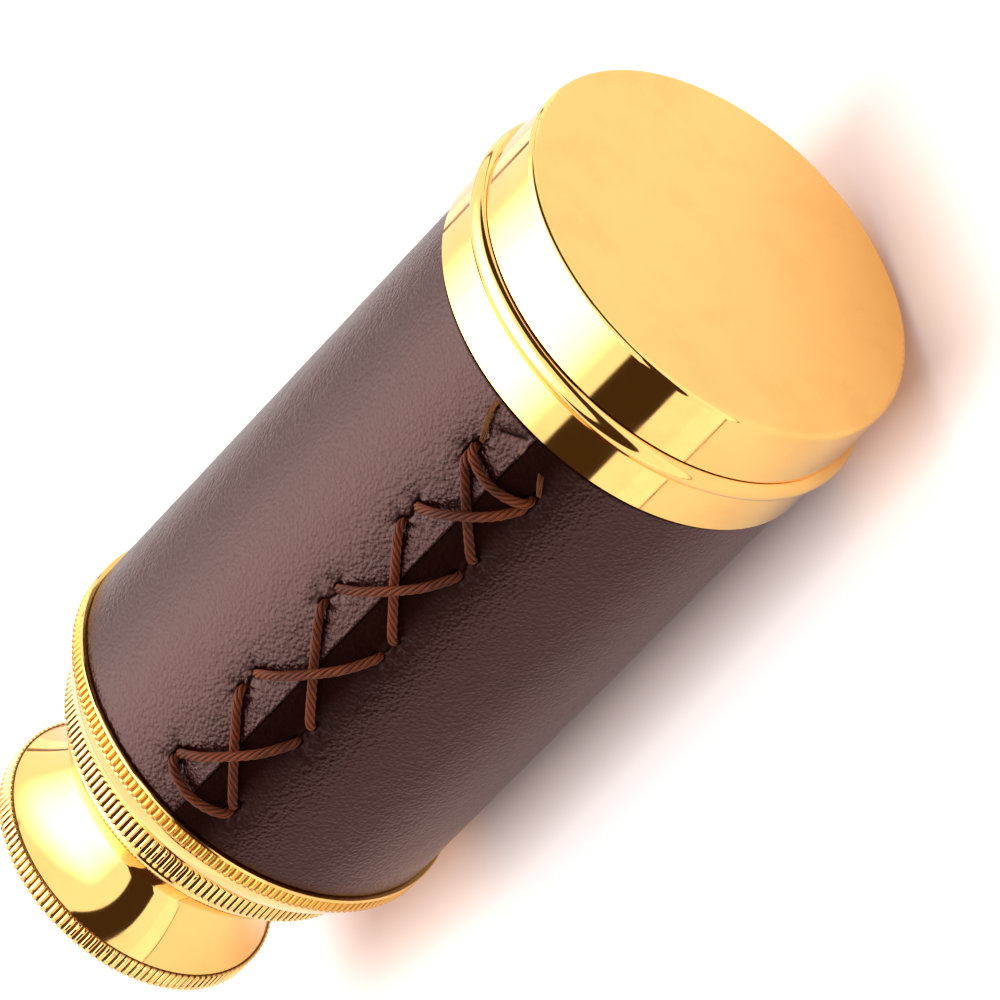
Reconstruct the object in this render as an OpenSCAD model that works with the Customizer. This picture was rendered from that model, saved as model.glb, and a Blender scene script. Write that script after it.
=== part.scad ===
// Spyglass with three draws, shut, lying on its side.
// The optical axis runs along +X toward the objective, and +Z is up.
// Each piece is drawn along its own Z, which counts the distance behind the cap's front face,
// and is then laid down along the optical axis. All sizes are in millimetres.

/* [Cap] */
// Outer diameter of the slip-on cap, from which every other diameter follows
cap_d = 48; // [44:0.5:56]
// Length of the cap over its side
cap_l = 8.2; // [7:0.1:12]
// Thickness of the cap's flat face
cap_face_t = 1.2; // [0.8:0.1:1.6]
// Wall of the cap's side
cap_wall = 0.95; // [0.6:0.05:1.2]
// Rounding of the cap's front edge
cap_edge_r = 0.7; // [0.3:0.1:0.9]
// Running clearance of the cap on its spigot, on the radius
cap_clear = 0.05; // [0.02:0.01:0.1]
// Space left between the cap and the cell when the cap is on
cap_gap = 0.15; // [0.05:0.05:0.5]
// Wall of the spigot that the cap slips over
spigot_wall = 1.2; // [0.8:0.1:1.8]

/* [Objective cell] */
// How far the bead that stops the cap stands out past it
bead_stand = 0.95; // [0.6:0.05:1.5]
// Width of the bead
bead_w = 2.6; // [1.6:0.1:3.2]
// How far the plain band behind the bead stands out past the leather
cell_stand = 0.5; // [0.2:0.05:1]
// Length of the plain band
cell_band_l = 5.7; // [4.5:0.1:10]
// Chamfer on the edges of the cell
cell_edge = 0.25; // [0.1:0.05:0.4]
// Depth of the socket that takes the barrel tube
cell_socket_l = 4; // [3:0.1:4.6]
// Thickness of the shoulder that the lenses seat on
cell_shoulder_t = 1.05; // [0.7:0.05:1.5]
// Width of the shoulder that carries the lens rim
cell_seat_w = 1.2; // [0.8:0.1:2]
// Step from the bore for the threaded ring down to the pocket for the lenses
cell_step = 0.75; // [0.5:0.05:1.2]

/* [Objective lenses] */
// Width of the flat rim round the curved part of each objective lens
objective_rim_w = 1.3; // [0.8:0.1:2]
// Radius of the objective's curved faces
objective_face_r = 140; // [110:5:300]
// Thickness of the crown lens at its rim
crown_rim_t = 1.2; // [0.8:0.1:1.6]
// Thickness of the flint lens at its rim
flint_rim_t = 3.2; // [2.4:0.1:3.6]
// Length of the threaded ring that holds the objective lenses
objective_ring_l = 1.5; // [1:0.1:2]
// Space between a lens and what surrounds it
lens_clear = 0.05; // [0.02:0.01:0.1]

/* [Barrel] */
// Step from the cap's spigot down to the barrel tube
barrel_step = 0.6; // [0.5:0.05:1]
// Wall of the barrel tube
barrel_wall = 0.7; // [0.5:0.05:1]
// Length of the leather between its two brass ends
leather_l = 69.2; // [62:0.2:84]
// Thickness of the leather
leather_t = 1.2; // [0.8:0.1:1.4]

/* [Lacing] */
// Angle of the seam, from the top toward the viewer's side
seam_angle = 41; // [0:1:90]
// Width of the gap between the two edges of the leather
seam_gap = 0.3; // [0.1:0.05:0.8]
// Angle from the seam to each line of holes
lace_angle = 9.9; // [8:0.1:14]
// Diameter of the lacing cord
cord_d = 1.1; // [0.8:0.05:1.2]
// Half the length of a slit, over which a strand dips under the leather
dip_l = 2.6; // [2.4:0.1:3.2]
// Width of a slit beyond the cord's diameter
slit_clear = 0.25; // [0.2:0.05:0.5]

/* [Barrel end ring] */
// How far the knurled band of the barrel end ring stands out past the leather
end_stand = 0.5; // [0.3:0.05:1.2]
// Width of the plain rim beside the leather
end_rim_w = 0.4; // [0.3:0.05:1.2]
// Width of the knurled band of the barrel end ring
end_knurl_w = 1.9; // [1:0.05:3]
// Length of the smooth shoulder behind the knurled band
end_shoulder_l = 4.75; // [4:0.05:7]
// Wall of the shoulder round the first draw, at its rear
end_nose_wall = 1.6; // [1.2:0.1:2.2]
// Chamfer at both ends of the shoulder
end_edge = 0.3; // [0.1:0.05:0.5]
// Depth of the socket that takes the rear of the barrel tube
end_socket_l = 4.4; // [3.4:0.1:4.8]

/* [Knurling] */
// Distance from one knurl tooth to the next
knurl_pitch = 0.84; // [0.7:0.02:1.6]
// Depth of the knurl grooves
knurl_depth = 0.35; // [0.2:0.05:0.5]
// Step from the knurling to the plain surface beside it
knurl_inset = 0.05; // [0.03:0.01:0.15]

/* [Draws] */
// Wall of the bush in the barrel
barrel_bush_wall = 2.65; // [2:0.05:3]
// Wall of the bush in the first draw
draw_1_bush_wall = 2.35; // [1.8:0.05:2.8]
// Wall of the bush in the second draw
draw_2_bush_wall = 2.55; // [2:0.05:3]
// Wall of the draw tubes
draw_wall = 0.6; // [0.5:0.05:0.8]
// Sliding clearance of the draws, on the radius
slide_clear = 0.05; // [0.02:0.01:0.1]
// Space between the objective cell and the front of the first draw
draw_front_gap = 5.85; // [3:0.05:12]
// Distance from the front of one draw to the front of the next one inside it
draw_step = 2.5; // [1:0.1:6]
// Length of the stop ring on the front of each draw
stop_l = 4; // [3:0.1:6]
// Length of the guide bush in which each draw slides
bush_l = 9; // [6:0.5:14]
// Length of the saw cuts that make the bush springy
bush_cut_l = 5; // [3:0.5:5.5]
// Width of the saw cuts
bush_cut_w = 0.6; // [0.3:0.1:1]
// Space round a draw where it passes a collar
collar_clear = 0.3; // [0.15:0.05:0.6]
// Space between two collars when the draws are shut
shut_gap = 0.3; // [0.1:0.05:0.8]

/* [First collar] */
// How far the knurling of the first draw's collar stands out past its tube
collar_1_stand = 1; // [0.9:0.05:1.6]
// Length of the first draw's collar
collar_1_l = 3.1; // [2.6:0.1:5]
// Depth of its socket for the draw tube
collar_1_socket_l = 2.3; // [1.6:0.1:2.4]
// Width of the plain chamfers beside its knurling
collar_1_edge = 0.25; // [0.1:0.05:0.4]

/* [Second collar] */
// How far the second draw's collar stands out past its tube, at its front
collar_2_stand = 2.3; // [1.6:0.1:3]
// Wall of its smooth nose round the third draw
collar_2_nose_wall = 0.9; // [0.5:0.1:1.4]
// Length of the second draw's collar
collar_2_l = 6.55; // [5.5:0.05:9]
// Length of its straight part
collar_2_band_l = 0.9; // [0.4:0.1:2]
// Chamfer on its front edge
collar_2_edge = 0.25; // [0.1:0.05:0.4]
// How far the side of its taper is bulged out
collar_2_swell = 0.4; // [0.1:0.1:0.8]
// Depth of its socket for the draw tube
collar_2_socket_l = 2.8; // [2:0.1:3]

/* [Eyepiece bell] */
// Wall of the bell at its neck
bell_neck_wall = 0.65; // [0.5:0.05:1.2]
// How far the knurled rim of the bell stands out past the third draw
bell_stand = 4.5; // [3.6:0.1:6]
// Length of the bell
bell_l = 10.4; // [9.8:0.1:14]
// Length of the bell's straight neck
bell_neck_l = 0.6; // [0.3:0.1:1.5]
// Chamfer at the rear of the knurled rim
bell_edge = 0.3; // [0.1:0.05:0.5]
// Depth of the bevel on the front of the knurled rim
bell_bevel_depth = 0.45; // [0.4:0.05:1.2]
// Width of the knurled rim
bell_rim_w = 2.7; // [1.4:0.1:3]
// Width of the bevel on the front of the knurled rim
bell_bevel_w = 0.3; // [0.2:0.1:1.2]
// Depth of the socket that takes the third draw
bell_socket_l = 3.85; // [3:0.05:4.2]
// Diameter of the eye hole
eye_hole_d = 10; // [6:0.5:14]
// Depth of the dished eyecup
eyecup_depth = 4.6; // [4.4:0.1:4.8]
// How far the bottom of the eyecup keeps inside the third draw's outer side
eyecup_inset = 3.8; // [3:0.1:5]
// Width of the lip round the mouth of the eyecup
eyecup_lip_w = 0.95; // [0.7:0.05:1.5]
// Thickness of the wall with the eye hole
eye_wall_t = 0.6; // [0.5:0.1:1]

/* [Eyepiece and erector] */
// Wall of the tube that holds the eyepiece lenses
eyepiece_wall = 0.85; // [0.6:0.05:1.1]
// Wall of the tube that holds the erector lenses
erector_wall = 2.55; // [2:0.05:3]
// Wall of the spacer tubes
spacer_wall = 0.9; // [0.6:0.1:1.2]
// Thickness of the small lenses at their rim
small_rim_t = 1.2; // [0.8:0.1:1.6]
// Width of the flat rim of the small lenses
small_rim_w = 1.4; // [1:0.1:2]
// Radius of the curved face of the eyepiece lenses
eyepiece_lens_r = 22; // [18:1:40]
// Radius of the curved face of the erector lenses
erector_lens_r = 20; // [16:1:40]
// Length of the threaded rings that hold the small lenses
small_ring_l = 1.4; // [1:0.1:2]
// Length of the lips that the small lenses seat on
lip_l = 1; // [0.6:0.1:1.4]
// Length of the spacer behind the field lens
field_spacer_l = 4.2; // [3:0.1:6]
// Length of the spacer in front of the eye lens
eye_spacer_l = 6.8; // [5:0.1:9]
// Length of each erector spacer
erector_spacer_l = 7; // [4:0.1:10]
// Thickness of the stops
stop_t = 0.5; // [0.3:0.1:0.8]
// Diameter of the field stop's hole
field_stop_d = 12; // [8:0.5:16]
// Diameter of the erector stop's hole
erector_stop_d = 5; // [3:0.5:8]
// Length of the tube ahead of each threaded ring
tube_lead = 0.5; // [0.3:0.1:1]

/* [Hidden] */
$fn = 96;

// Stations along the optical axis, counted from the cap's face
spigot_front = cap_face_t + cap_gap;
bead_front = cap_l + cap_gap;
band_front = bead_front + bead_w;
leather_front = band_front + cell_band_l;
tube_front = leather_front - cell_socket_l;
lens_seat = tube_front - cell_shoulder_t;
flint_front = lens_seat - flint_rim_t;
crown_front = flint_front - lens_clear - crown_rim_t;
leather_rear = leather_front + leather_l;
knurl_front = leather_rear + end_rim_w;
knurl_rear = knurl_front + end_knurl_w;
end_ring_rear = knurl_rear + end_shoulder_l;
barrel_rear = leather_rear + end_socket_l;
collar_1_front = end_ring_rear + shut_gap;
collar_1_rear = collar_1_front + collar_1_l;
collar_2_front = collar_1_rear + shut_gap;
collar_2_rear = collar_2_front + collar_2_l;
bell_front = collar_2_rear + shut_gap;
bell_rear = bell_front + bell_l;
draw_1_front = tube_front + draw_front_gap;
draw_2_front = draw_1_front + draw_step;
draw_3_front = draw_2_front + draw_step;
draw_1_rear = collar_1_front + collar_1_socket_l;
draw_2_rear = collar_2_front + collar_2_socket_l;
draw_3_rear = bell_front + bell_socket_l;

// Radii, from the outside in
cap_r = cap_d / 2;
bead_r = cap_r + bead_stand;
spigot_r = cap_r - cap_wall - cap_clear;
cell_bore_r = spigot_r - spigot_wall;
pocket_r = cell_bore_r - cell_step;
objective_r = pocket_r - lens_clear;
seat_r = pocket_r - cell_seat_w;
barrel_r = spigot_r - barrel_step;
barrel_bore_r = barrel_r - barrel_wall;
leather_r = barrel_r + leather_t;
cell_r = leather_r + cell_stand;
end_ring_r = leather_r + end_stand;
draw_1_r = barrel_bore_r - barrel_bush_wall - slide_clear;
draw_1_bore_r = draw_1_r - draw_wall;
draw_2_r = draw_1_bore_r - draw_1_bush_wall - slide_clear;
draw_2_bore_r = draw_2_r - draw_wall;
draw_3_r = draw_2_bore_r - draw_2_bush_wall - slide_clear;
small_bore_r = draw_3_r - draw_wall;
collar_1_r = draw_1_r + collar_1_stand;
collar_2_r = draw_2_r + collar_2_stand;
bell_r = draw_3_r + bell_stand;
small_tube_r = small_bore_r - slide_clear;
eyepiece_bore_r = small_tube_r - eyepiece_wall;
erector_bore_r = small_tube_r - erector_wall;

// Eyepiece and erector stations
eyepiece_rear = bell_rear - eyecup_depth - eye_wall_t;
eye_lens_rear = eyepiece_rear - lip_l;
eye_spacer_rear = eye_lens_rear - small_rim_t;
field_stop_rear = eye_spacer_rear - eye_spacer_l;
field_spacer_rear = field_stop_rear - stop_t;
field_lens_rear = field_spacer_rear - field_spacer_l;
field_lens_front = field_lens_rear - small_rim_t;
eyepiece_ring_front = field_lens_front - small_ring_l;
erector_front = draw_3_front + tube_lead;
erector_ring_front = erector_front + tube_lead;
erector_lens_front = erector_ring_front + small_ring_l;
erector_spacer_front = erector_lens_front + small_rim_t;
erector_stop_front = erector_spacer_front + erector_spacer_l;
erector_spacer_2_front = erector_stop_front + stop_t;
erector_lens_2_front = erector_spacer_2_front + erector_spacer_l;
erector_lens_2_rear = erector_lens_2_front + small_rim_t;

// Place of the finished part: centred along X, resting on its widest piece
axis_z = max(bead_r, cell_r, end_ring_r + knurl_inset);
face_x = bell_rear / 2;

// How far a cut runs past what it cuts
past = 1;

// Route of the lacing. The rows of holes are given as parts of the leather's length, counted from
// its front edge. Each step of a route is how far along it is and how high the cord lies there.
lace_rows = [0.107, 0.273, 0.488, 0.715, 0.92];
last_row = len(lace_rows) - 1;
slit_w = cord_d + slit_clear;
cord_clear = 0.04;
bar_step = 0.5;
strand_end = 0.85;
tail_lean_angle = 4.6;
tail_gap = 1.9;
tail_rise = 1.1;
tail_station = row_station(0) - tail_gap;
tuck_l = 2.2;
dip_route = [[-0.5, 0.5], [0, 0], [0.5, 0.5]];
under_route = [[0, 1], [0.33, 1], [0.67, 1], [1, 1]];
over_route = [[0, 1], [0.3, 1.98], [0.7, 1.98], [1, 1]];
end_route = [[0, 0], [0.5, 0.5]];
bar_route = [[-0.02, 0], [0, 0.65], [0.15, 1.03], [1, 1.03]];
tail_route = [[0, 0, 0], [0.04, 0, 0.6], [0.19, 0.1, 1], [0.6, 1, 1], [0.78, 1, 0.6], [0.95, 1, 0]];

brass = "#d8a648";
brass_inner = "#b98a3a";
blackened = "#2a2622";
glass = "#cfe3ea";
leather_colour = "#3a2420";
cord_colour = "#7d3f26";

// Lays a piece, drawn along its own Z, down along the optical axis
module optical()
    translate([face_x, 0, axis_z]) rotate([0, -90, 0]) children();

// A plain ring or tube between two stations
module ring(r_out, r_in, from, to)
    difference() {
        translate([0, 0, from]) cylinder(r = r_out, h = to - from);
        translate([0, 0, from - past]) cylinder(r = r_in, h = to - from + 2 * past);
    }

// A body of revolution from [radius, station] points
module turned(profile)
    rotate_extrude() polygon(profile);

// A solid disc with straight V-shaped knurling round its edge
module knurled_disc(crest_r, from, to) {
    teeth = round(2 * PI * crest_r / knurl_pitch);
    translate([0, 0, from]) linear_extrude(to - from)
        polygon([for (i = [0:2 * teeth - 1]) let (a = i * 180 / teeth,
            r = crest_r - (i % 2) * knurl_depth) r * [cos(a), sin(a)]]);
}

// Half an outline that leaves radius r parallel to the axis at `from` and curves in to reach
// `fall` less radius at `to`
module falling_arc(r, fall, from, to) {
    length = to - from;
    arc_r = (fall * fall + length * length) / (2 * fall);
    intersection() {
        translate([r - arc_r, from]) circle(r = arc_r);
        translate([0, from]) square([r + past, length]);
    }
    translate([0, from]) square([r - fall, length]);
}

// Half an outline that leaves radius r parallel to the axis at `from` and curves out to reach
// `rise` more radius at `to`
module rising_arc(r, rise, from, to) {
    length = to - from;
    arc_r = (rise * rise + length * length) / (2 * rise);
    difference() {
        translate([0, from]) square([r + rise + past, length]);
        translate([r + arc_r, from]) circle(r = arc_r);
    }
}

// Half an outline that goes from one radius to another with its side bulged out by `swell`
module swollen_taper(r_from, r_to, from, to, swell) {
    run = [r_to - r_from, to - from];
    chord = norm(run);
    arc_r = (chord * chord / 4 + swell * swell) / (2 * swell);
    outward = [run[1], -run[0]] / chord;
    centre = [r_from, from] + run / 2 - outward * (arc_r - swell);
    intersection() {
        translate(centre) circle(r = arc_r);
        translate([0, from]) square([r_from + past, run[1]]);
    }
}

// Bores a piece from one station on
module bored(r, from, to)
    translate([0, 0, from]) cylinder(r = r, h = to - from);

// Height of a spherical face above the edge of its curved part, which reaches out to `reach`
function bulge(face_r, reach, x) = sqrt(face_r * face_r - x * x) - sqrt(face_r * face_r - reach * reach);

// A lens with a flat rim. Each face is 1 for bulging, 0 for flat and -1 for hollow.
module lens(r, rim_w, from, rim_t, face_r, front, rear) {
    reach = r - rim_w;
    steps = 12;
    turned(concat(
        front == 0 ? [[0, from]] : [for (i = [0:steps]) let (x = reach * i / steps)
            [x, from - front * bulge(face_r, reach, x)]],
        [[r, from], [r, from + rim_t]],
        rear == 0 ? [[0, from + rim_t]] : [for (i = [steps:-1:0]) let (x = reach * i / steps)
            [x, from + rim_t + rear * bulge(face_r, reach, x)]]));
}

// The bush in which a draw slides, with saw cuts from its front
module guide_bush(bore_r, r_out, to)
    difference() {
        ring(r_out, bore_r, to - bush_l, to);
        for (a = [0, 90])
            rotate([0, 0, a]) translate([-r_out - past, -bush_cut_w / 2, to - bush_l - past])
                cube([2 * (r_out + past), bush_cut_w, bush_cut_l + past]);
    }

module objective_cap() color(brass) optical() {
    bore_r = cap_r - cap_wall;
    rotate_extrude() {
        polygon([[0, 0], [cap_r - cap_edge_r, 0], [cap_r, cap_edge_r], [cap_r, cap_l],
            [bore_r, cap_l], [bore_r, cap_face_t], [0, cap_face_t]]);
        translate([cap_r - cap_edge_r, cap_edge_r]) circle(r = cap_edge_r);
    }
}

module objective_cell() color(brass) optical() {
    half_w = bead_w / 2;
    bead_centre_r = bead_r - half_w;
    rotate_extrude() {
        polygon([[cell_bore_r, spigot_front], [spigot_r - cell_edge, spigot_front],
            [spigot_r, spigot_front + cell_edge], [spigot_r, bead_front],
            [bead_centre_r, bead_front], [bead_centre_r, band_front],
            [cell_r - cell_edge, band_front], [cell_r, band_front + cell_edge],
            [cell_r, leather_front - cell_edge], [cell_r - cell_edge, leather_front],
            [barrel_r, leather_front], [barrel_r, tube_front], [seat_r, tube_front],
            [seat_r, lens_seat], [pocket_r, lens_seat], [pocket_r, crown_front],
            [cell_bore_r, crown_front]]);
        translate([bead_centre_r, bead_front + half_w]) circle(r = half_w);
    }
}

module objective_crown_lens() color(glass) optical()
    lens(objective_r, objective_rim_w, crown_front, crown_rim_t, objective_face_r, 1, 1);

module objective_flint_lens() color(glass) optical()
    lens(objective_r, objective_rim_w, flint_front, flint_rim_t, objective_face_r, -1, 0);

module objective_retaining_ring() color(brass_inner) optical()
    ring(cell_bore_r, seat_r, crown_front - objective_ring_l, crown_front);

module barrel_tube() color(brass_inner) optical()
    ring(barrel_r, barrel_bore_r, tube_front, barrel_rear);

// Angle of a line of holes: side is 1 for the upper line and -1 for the lower one
function lace_side(side) = side * lace_angle - seam_angle;
function row_station(row) = leather_front + lace_rows[row] * leather_l;

// Radius of a cord's centre line at a height: 0 under the leather, 1 laid on it, 2 over a cord
function height(h) = lookup(h, [[0, barrel_r + cord_d / 2 + cord_clear],
    [1, leather_r + cord_d / 2 + cord_clear], [2, leather_r + 1.5 * cord_d + 3 * cord_clear]]);

// A point of a cord from its station, its angle round the axis and its height
function spot(station, angle, h) =
    [height(h) * cos(angle), height(h) * sin(angle), station];

// A slit through the leather with round ends, between two stations
module slit(from, to, angle)
    rotate([0, 0, angle]) translate([barrel_r - past, 0, 0]) rotate([0, 90, 0]) {
        for (station = [from + slit_w / 2, to - slit_w / 2])
            translate([-station, 0, 0]) cylinder(d = slit_w, h = leather_t + 2 * past, $fn = 24);
        translate([slit_w / 2 - to, -slit_w / 2, 0])
            cube([to - from - slit_w, slit_w, leather_t + 2 * past]);
    }

module leather_sleeve() color(leather_colour) optical()
    difference() {
        ring(leather_r, barrel_r, leather_front, leather_rear);
        rotate([0, 0, -seam_angle]) translate([0, -seam_gap / 2, leather_front - past])
            cube([leather_r + past, seam_gap, leather_l + 2 * past]);
        for (side = [-1, 1]) {
            for (row = [1:last_row - 1])
                slit(row_station(row) - dip_l, row_station(row) + dip_l, lace_side(side));
            slit(tail_station - tail_rise, row_station(0) + dip_l, lace_side(side));
            slit(row_station(last_row) - dip_l, row_station(last_row) + bar_step + slit_w / 2,
                lace_side(side));
            slit(leather_front - slit_w, leather_front + tuck_l,
                lace_side(side) + tail_lean(side));
        }
    }

// A cord along centre-line points, each ring square to the line. A cord that lies in one plane
// is given the direction square to that plane.
module cord(points, square = undef) {
    sides = 8;
    count = len(points);
    rings = [for (i = [0:count - 1]) let (
        ahead = points[min(i + 1, count - 1)] - points[max(i - 1, 0)],
        t = ahead / norm(ahead),
        side = is_undef(square) ? cross(t, [points[i][0], points[i][1], 0]) : square,
        b = side / norm(side),
        n = cross(b, t))
        [for (j = [0:sides - 1]) let (a = 360 * j / sides)
            points[i] + cord_d / 2 * (cos(a) * n + sin(a) * b)]];
    polyhedron(
        points = [for (r = rings) each r],
        faces = concat(
            [[for (j = [0:sides - 1]) j]],
            [[for (j = [sides - 1:-1:0]) (count - 1) * sides + j]],
            [for (i = [0:count - 2], j = [0:sides - 1]) let (k = (j + 1) % sides)
                [i * sides + j, (i + 1) * sides + j, (i + 1) * sides + k, i * sides + k]]));
}

// A strand's run between two rows. It goes over the other strand where it runs from the lower
// side to the upper one, and under it where it runs back.
function strand_run(row, side) = let (
    from = row_station(row) + dip_l,
    to = row_station(row + 1) - dip_l)
    [for (step = side < 0 ? over_route : under_route) let (t = step[0])
        spot(from + (to - from) * t, lace_side(side) * (1 - t) + lace_side(-side) * t, step[1])];

// The dip of a strand through the slit of one row, from under the surface back up
function strand_dip(row, side) =
    [for (step = dip_route) spot(row_station(row) + step[0] * dip_l, lace_side(side), step[1])];

// A strand from the front row to the rear row that starts on one side
function strand(side) = let (
    end_side = last_row % 2 == 0 ? side : -side,
    end = strand_end)
    concat(
        [for (step = end_route)
            spot(row_station(0) + end + step[0] * (dip_l - end), lace_side(side), step[1])],
        [for (row = [0:last_row - 1]) let (here = row % 2 == 0 ? side : -side)
            each concat(row > 0 ? strand_dip(row, here) : [], strand_run(row, here))],
        [for (i = [len(end_route) - 1:-1:0]) let (step = end_route[i])
            spot(row_station(last_row) - end - step[0] * (dip_l - end), lace_side(end_side),
                step[1])]);

// The bar straight across the seam at an end of the lacing
function bar(station) = [for (half = [1, -1], i = [0:len(bar_route) - (half > 0 ? 1 : 2)])
    let (step = bar_route[half > 0 ? i : len(bar_route) - 2 - i])
        spot(station, half * (lace_angle - step[0] * lace_angle) - seam_angle, step[1])];

// A cord end that leaves the front row, leans over and is tucked in beside the cell
function tail_lean(side) = side > 0 ? tail_lean_angle : 0;
function tail(side) = let (l = tail_station - leather_front)
    [for (step = tail_route) spot(tail_station - step[0] * l,
        lace_side(side) + step[1] * tail_lean(side), step[2])];

module lacing() color(cord_colour) optical() {
    for (side = [-1, 1]) {
        cord(strand(side));
        cord(tail(side));
    }
    cord(bar(row_station(0) - bar_step), [0, 0, -1]);
    cord(bar(row_station(last_row) + bar_step), [0, 0, -1]);
}

module barrel_end_ring() color(brass) optical() {
    bore_r = draw_1_r + collar_clear;
    nose_r = bore_r + end_nose_wall;
    rim_r = end_ring_r + knurl_inset;
    shoulder_r = end_ring_r - knurl_depth - end_edge;
    shoulder_front = knurl_rear + end_edge;
    shoulder_rear = end_ring_rear - end_edge;
    difference() {
        union() {
            rotate_extrude() {
                polygon([[0, leather_rear], [rim_r, leather_rear], [rim_r, knurl_front],
                    [shoulder_r, knurl_front], [shoulder_r, shoulder_front], [0, shoulder_front]]);
                falling_arc(shoulder_r, shoulder_r - nose_r, shoulder_front, shoulder_rear);
                polygon([[0, shoulder_rear], [nose_r, shoulder_rear],
                    [nose_r - end_edge, end_ring_rear], [0, end_ring_rear]]);
            }
            knurled_disc(end_ring_r, knurl_front, knurl_rear);
        }
        bored(barrel_r, leather_rear - past, barrel_rear);
        bored(bore_r, leather_rear, end_ring_rear + past);
    }
}

module barrel_guide_bush() color(brass_inner) optical()
    guide_bush(draw_1_r + slide_clear, barrel_bore_r, barrel_rear);

module draw_1_tube() color(brass) optical()
    ring(draw_1_r, draw_1_bore_r, draw_1_front, draw_1_rear);

module draw_1_stop_ring() color(brass_inner) optical()
    ring(barrel_bore_r - slide_clear, draw_1_r, draw_1_front, draw_1_front + stop_l);

module draw_1_collar() color(brass) optical() {
    core_r = collar_1_r - knurl_depth - knurl_inset;
    edge_r = core_r - collar_1_edge;
    difference() {
        union() {
            turned([[0, collar_1_front], [edge_r, collar_1_front],
                [core_r, collar_1_front + collar_1_edge], [core_r, collar_1_rear - collar_1_edge],
                [edge_r, collar_1_rear], [0, collar_1_rear]]);
            knurled_disc(collar_1_r, collar_1_front + collar_1_edge,
                collar_1_rear - collar_1_edge);
        }
        bored(draw_1_r, collar_1_front - past, draw_1_rear);
        bored(draw_2_r + collar_clear, collar_1_front, collar_1_rear + past);
    }
}

module draw_1_guide_bush() color(brass_inner) optical()
    guide_bush(draw_2_r + slide_clear, draw_1_bore_r, draw_1_rear);

module draw_2_tube() color(brass) optical()
    ring(draw_2_r, draw_2_bore_r, draw_2_front, draw_2_rear);

module draw_2_stop_ring() color(brass_inner) optical()
    ring(draw_1_bore_r - slide_clear, draw_2_r, draw_2_front, draw_2_front + stop_l);

module draw_2_collar() color(brass) optical() {
    bore_r = draw_3_r + collar_clear;
    taper_front = collar_2_front + collar_2_edge + collar_2_band_l;
    difference() {
        rotate_extrude() {
            polygon([[0, collar_2_front], [collar_2_r - collar_2_edge, collar_2_front],
                [collar_2_r, collar_2_front + collar_2_edge], [collar_2_r, taper_front],
                [0, taper_front]]);
            swollen_taper(collar_2_r, bore_r + collar_2_nose_wall, taper_front, collar_2_rear,
                collar_2_swell);
        }
        bored(draw_2_r, collar_2_front - past, draw_2_rear);
        bored(bore_r, collar_2_front, collar_2_rear + past);
    }
}

module draw_2_guide_bush() color(brass_inner) optical()
    guide_bush(draw_3_r + slide_clear, draw_2_bore_r, draw_2_rear);

module draw_3_tube() color(brass) optical()
    ring(draw_3_r, small_bore_r, draw_3_front, draw_3_rear);

module draw_3_stop_ring() color(brass_inner) optical()
    ring(draw_2_bore_r - slide_clear, draw_3_r, draw_3_front, draw_3_front + stop_l);

// A tube that holds small lenses, with a lip at its rear for the last lens to seat on
module lens_tube(bore_r, from, to)
    turned([[small_tube_r, from], [small_tube_r, to], [bore_r - small_rim_w, to],
        [bore_r - small_rim_w, to - lip_l], [bore_r, to - lip_l], [bore_r, from]]);

module erector_tube() color(blackened) optical()
    lens_tube(erector_bore_r, erector_front, erector_lens_2_rear + lip_l);

module erector_retaining_ring() color(brass_inner) optical()
    ring(erector_bore_r, erector_bore_r - small_rim_w, erector_ring_front, erector_lens_front);

module erector_front_lens() color(glass) optical()
    lens(erector_bore_r - lens_clear, small_rim_w, erector_lens_front, small_rim_t,
        erector_lens_r, 0, 1);

module erector_front_spacer() color(blackened) optical()
    ring(erector_bore_r - lens_clear, erector_bore_r - spacer_wall, erector_spacer_front,
        erector_stop_front);

module erector_stop() color(blackened) optical()
    ring(erector_bore_r - lens_clear, erector_stop_d / 2, erector_stop_front,
        erector_spacer_2_front);

module erector_rear_spacer() color(blackened) optical()
    ring(erector_bore_r - lens_clear, erector_bore_r - spacer_wall, erector_spacer_2_front,
        erector_lens_2_front);

module erector_rear_lens() color(glass) optical()
    lens(erector_bore_r - lens_clear, small_rim_w, erector_lens_2_front, small_rim_t,
        erector_lens_r, 1, 0);

module eyepiece_tube() color(blackened) optical()
    lens_tube(eyepiece_bore_r, eyepiece_ring_front - tube_lead, eyepiece_rear);

module eyepiece_retaining_ring() color(brass_inner) optical()
    ring(eyepiece_bore_r, eyepiece_bore_r - small_rim_w, eyepiece_ring_front, field_lens_front);

module field_lens() color(glass) optical()
    lens(eyepiece_bore_r - lens_clear, small_rim_w, field_lens_front, small_rim_t,
        eyepiece_lens_r, 1, 0);

module field_lens_spacer() color(blackened) optical()
    ring(eyepiece_bore_r - lens_clear, eyepiece_bore_r - spacer_wall, field_lens_rear,
        field_spacer_rear);

module field_stop() color(blackened) optical()
    ring(eyepiece_bore_r - lens_clear, field_stop_d / 2, field_spacer_rear, field_stop_rear);

module eye_lens_spacer() color(blackened) optical()
    ring(eyepiece_bore_r - lens_clear, eyepiece_bore_r - spacer_wall, field_stop_rear,
        eye_spacer_rear);

module eye_lens() color(glass) optical()
    lens(eyepiece_bore_r - lens_clear, small_rim_w, eye_spacer_rear, small_rim_t,
        eyepiece_lens_r, 1, 0);

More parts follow.
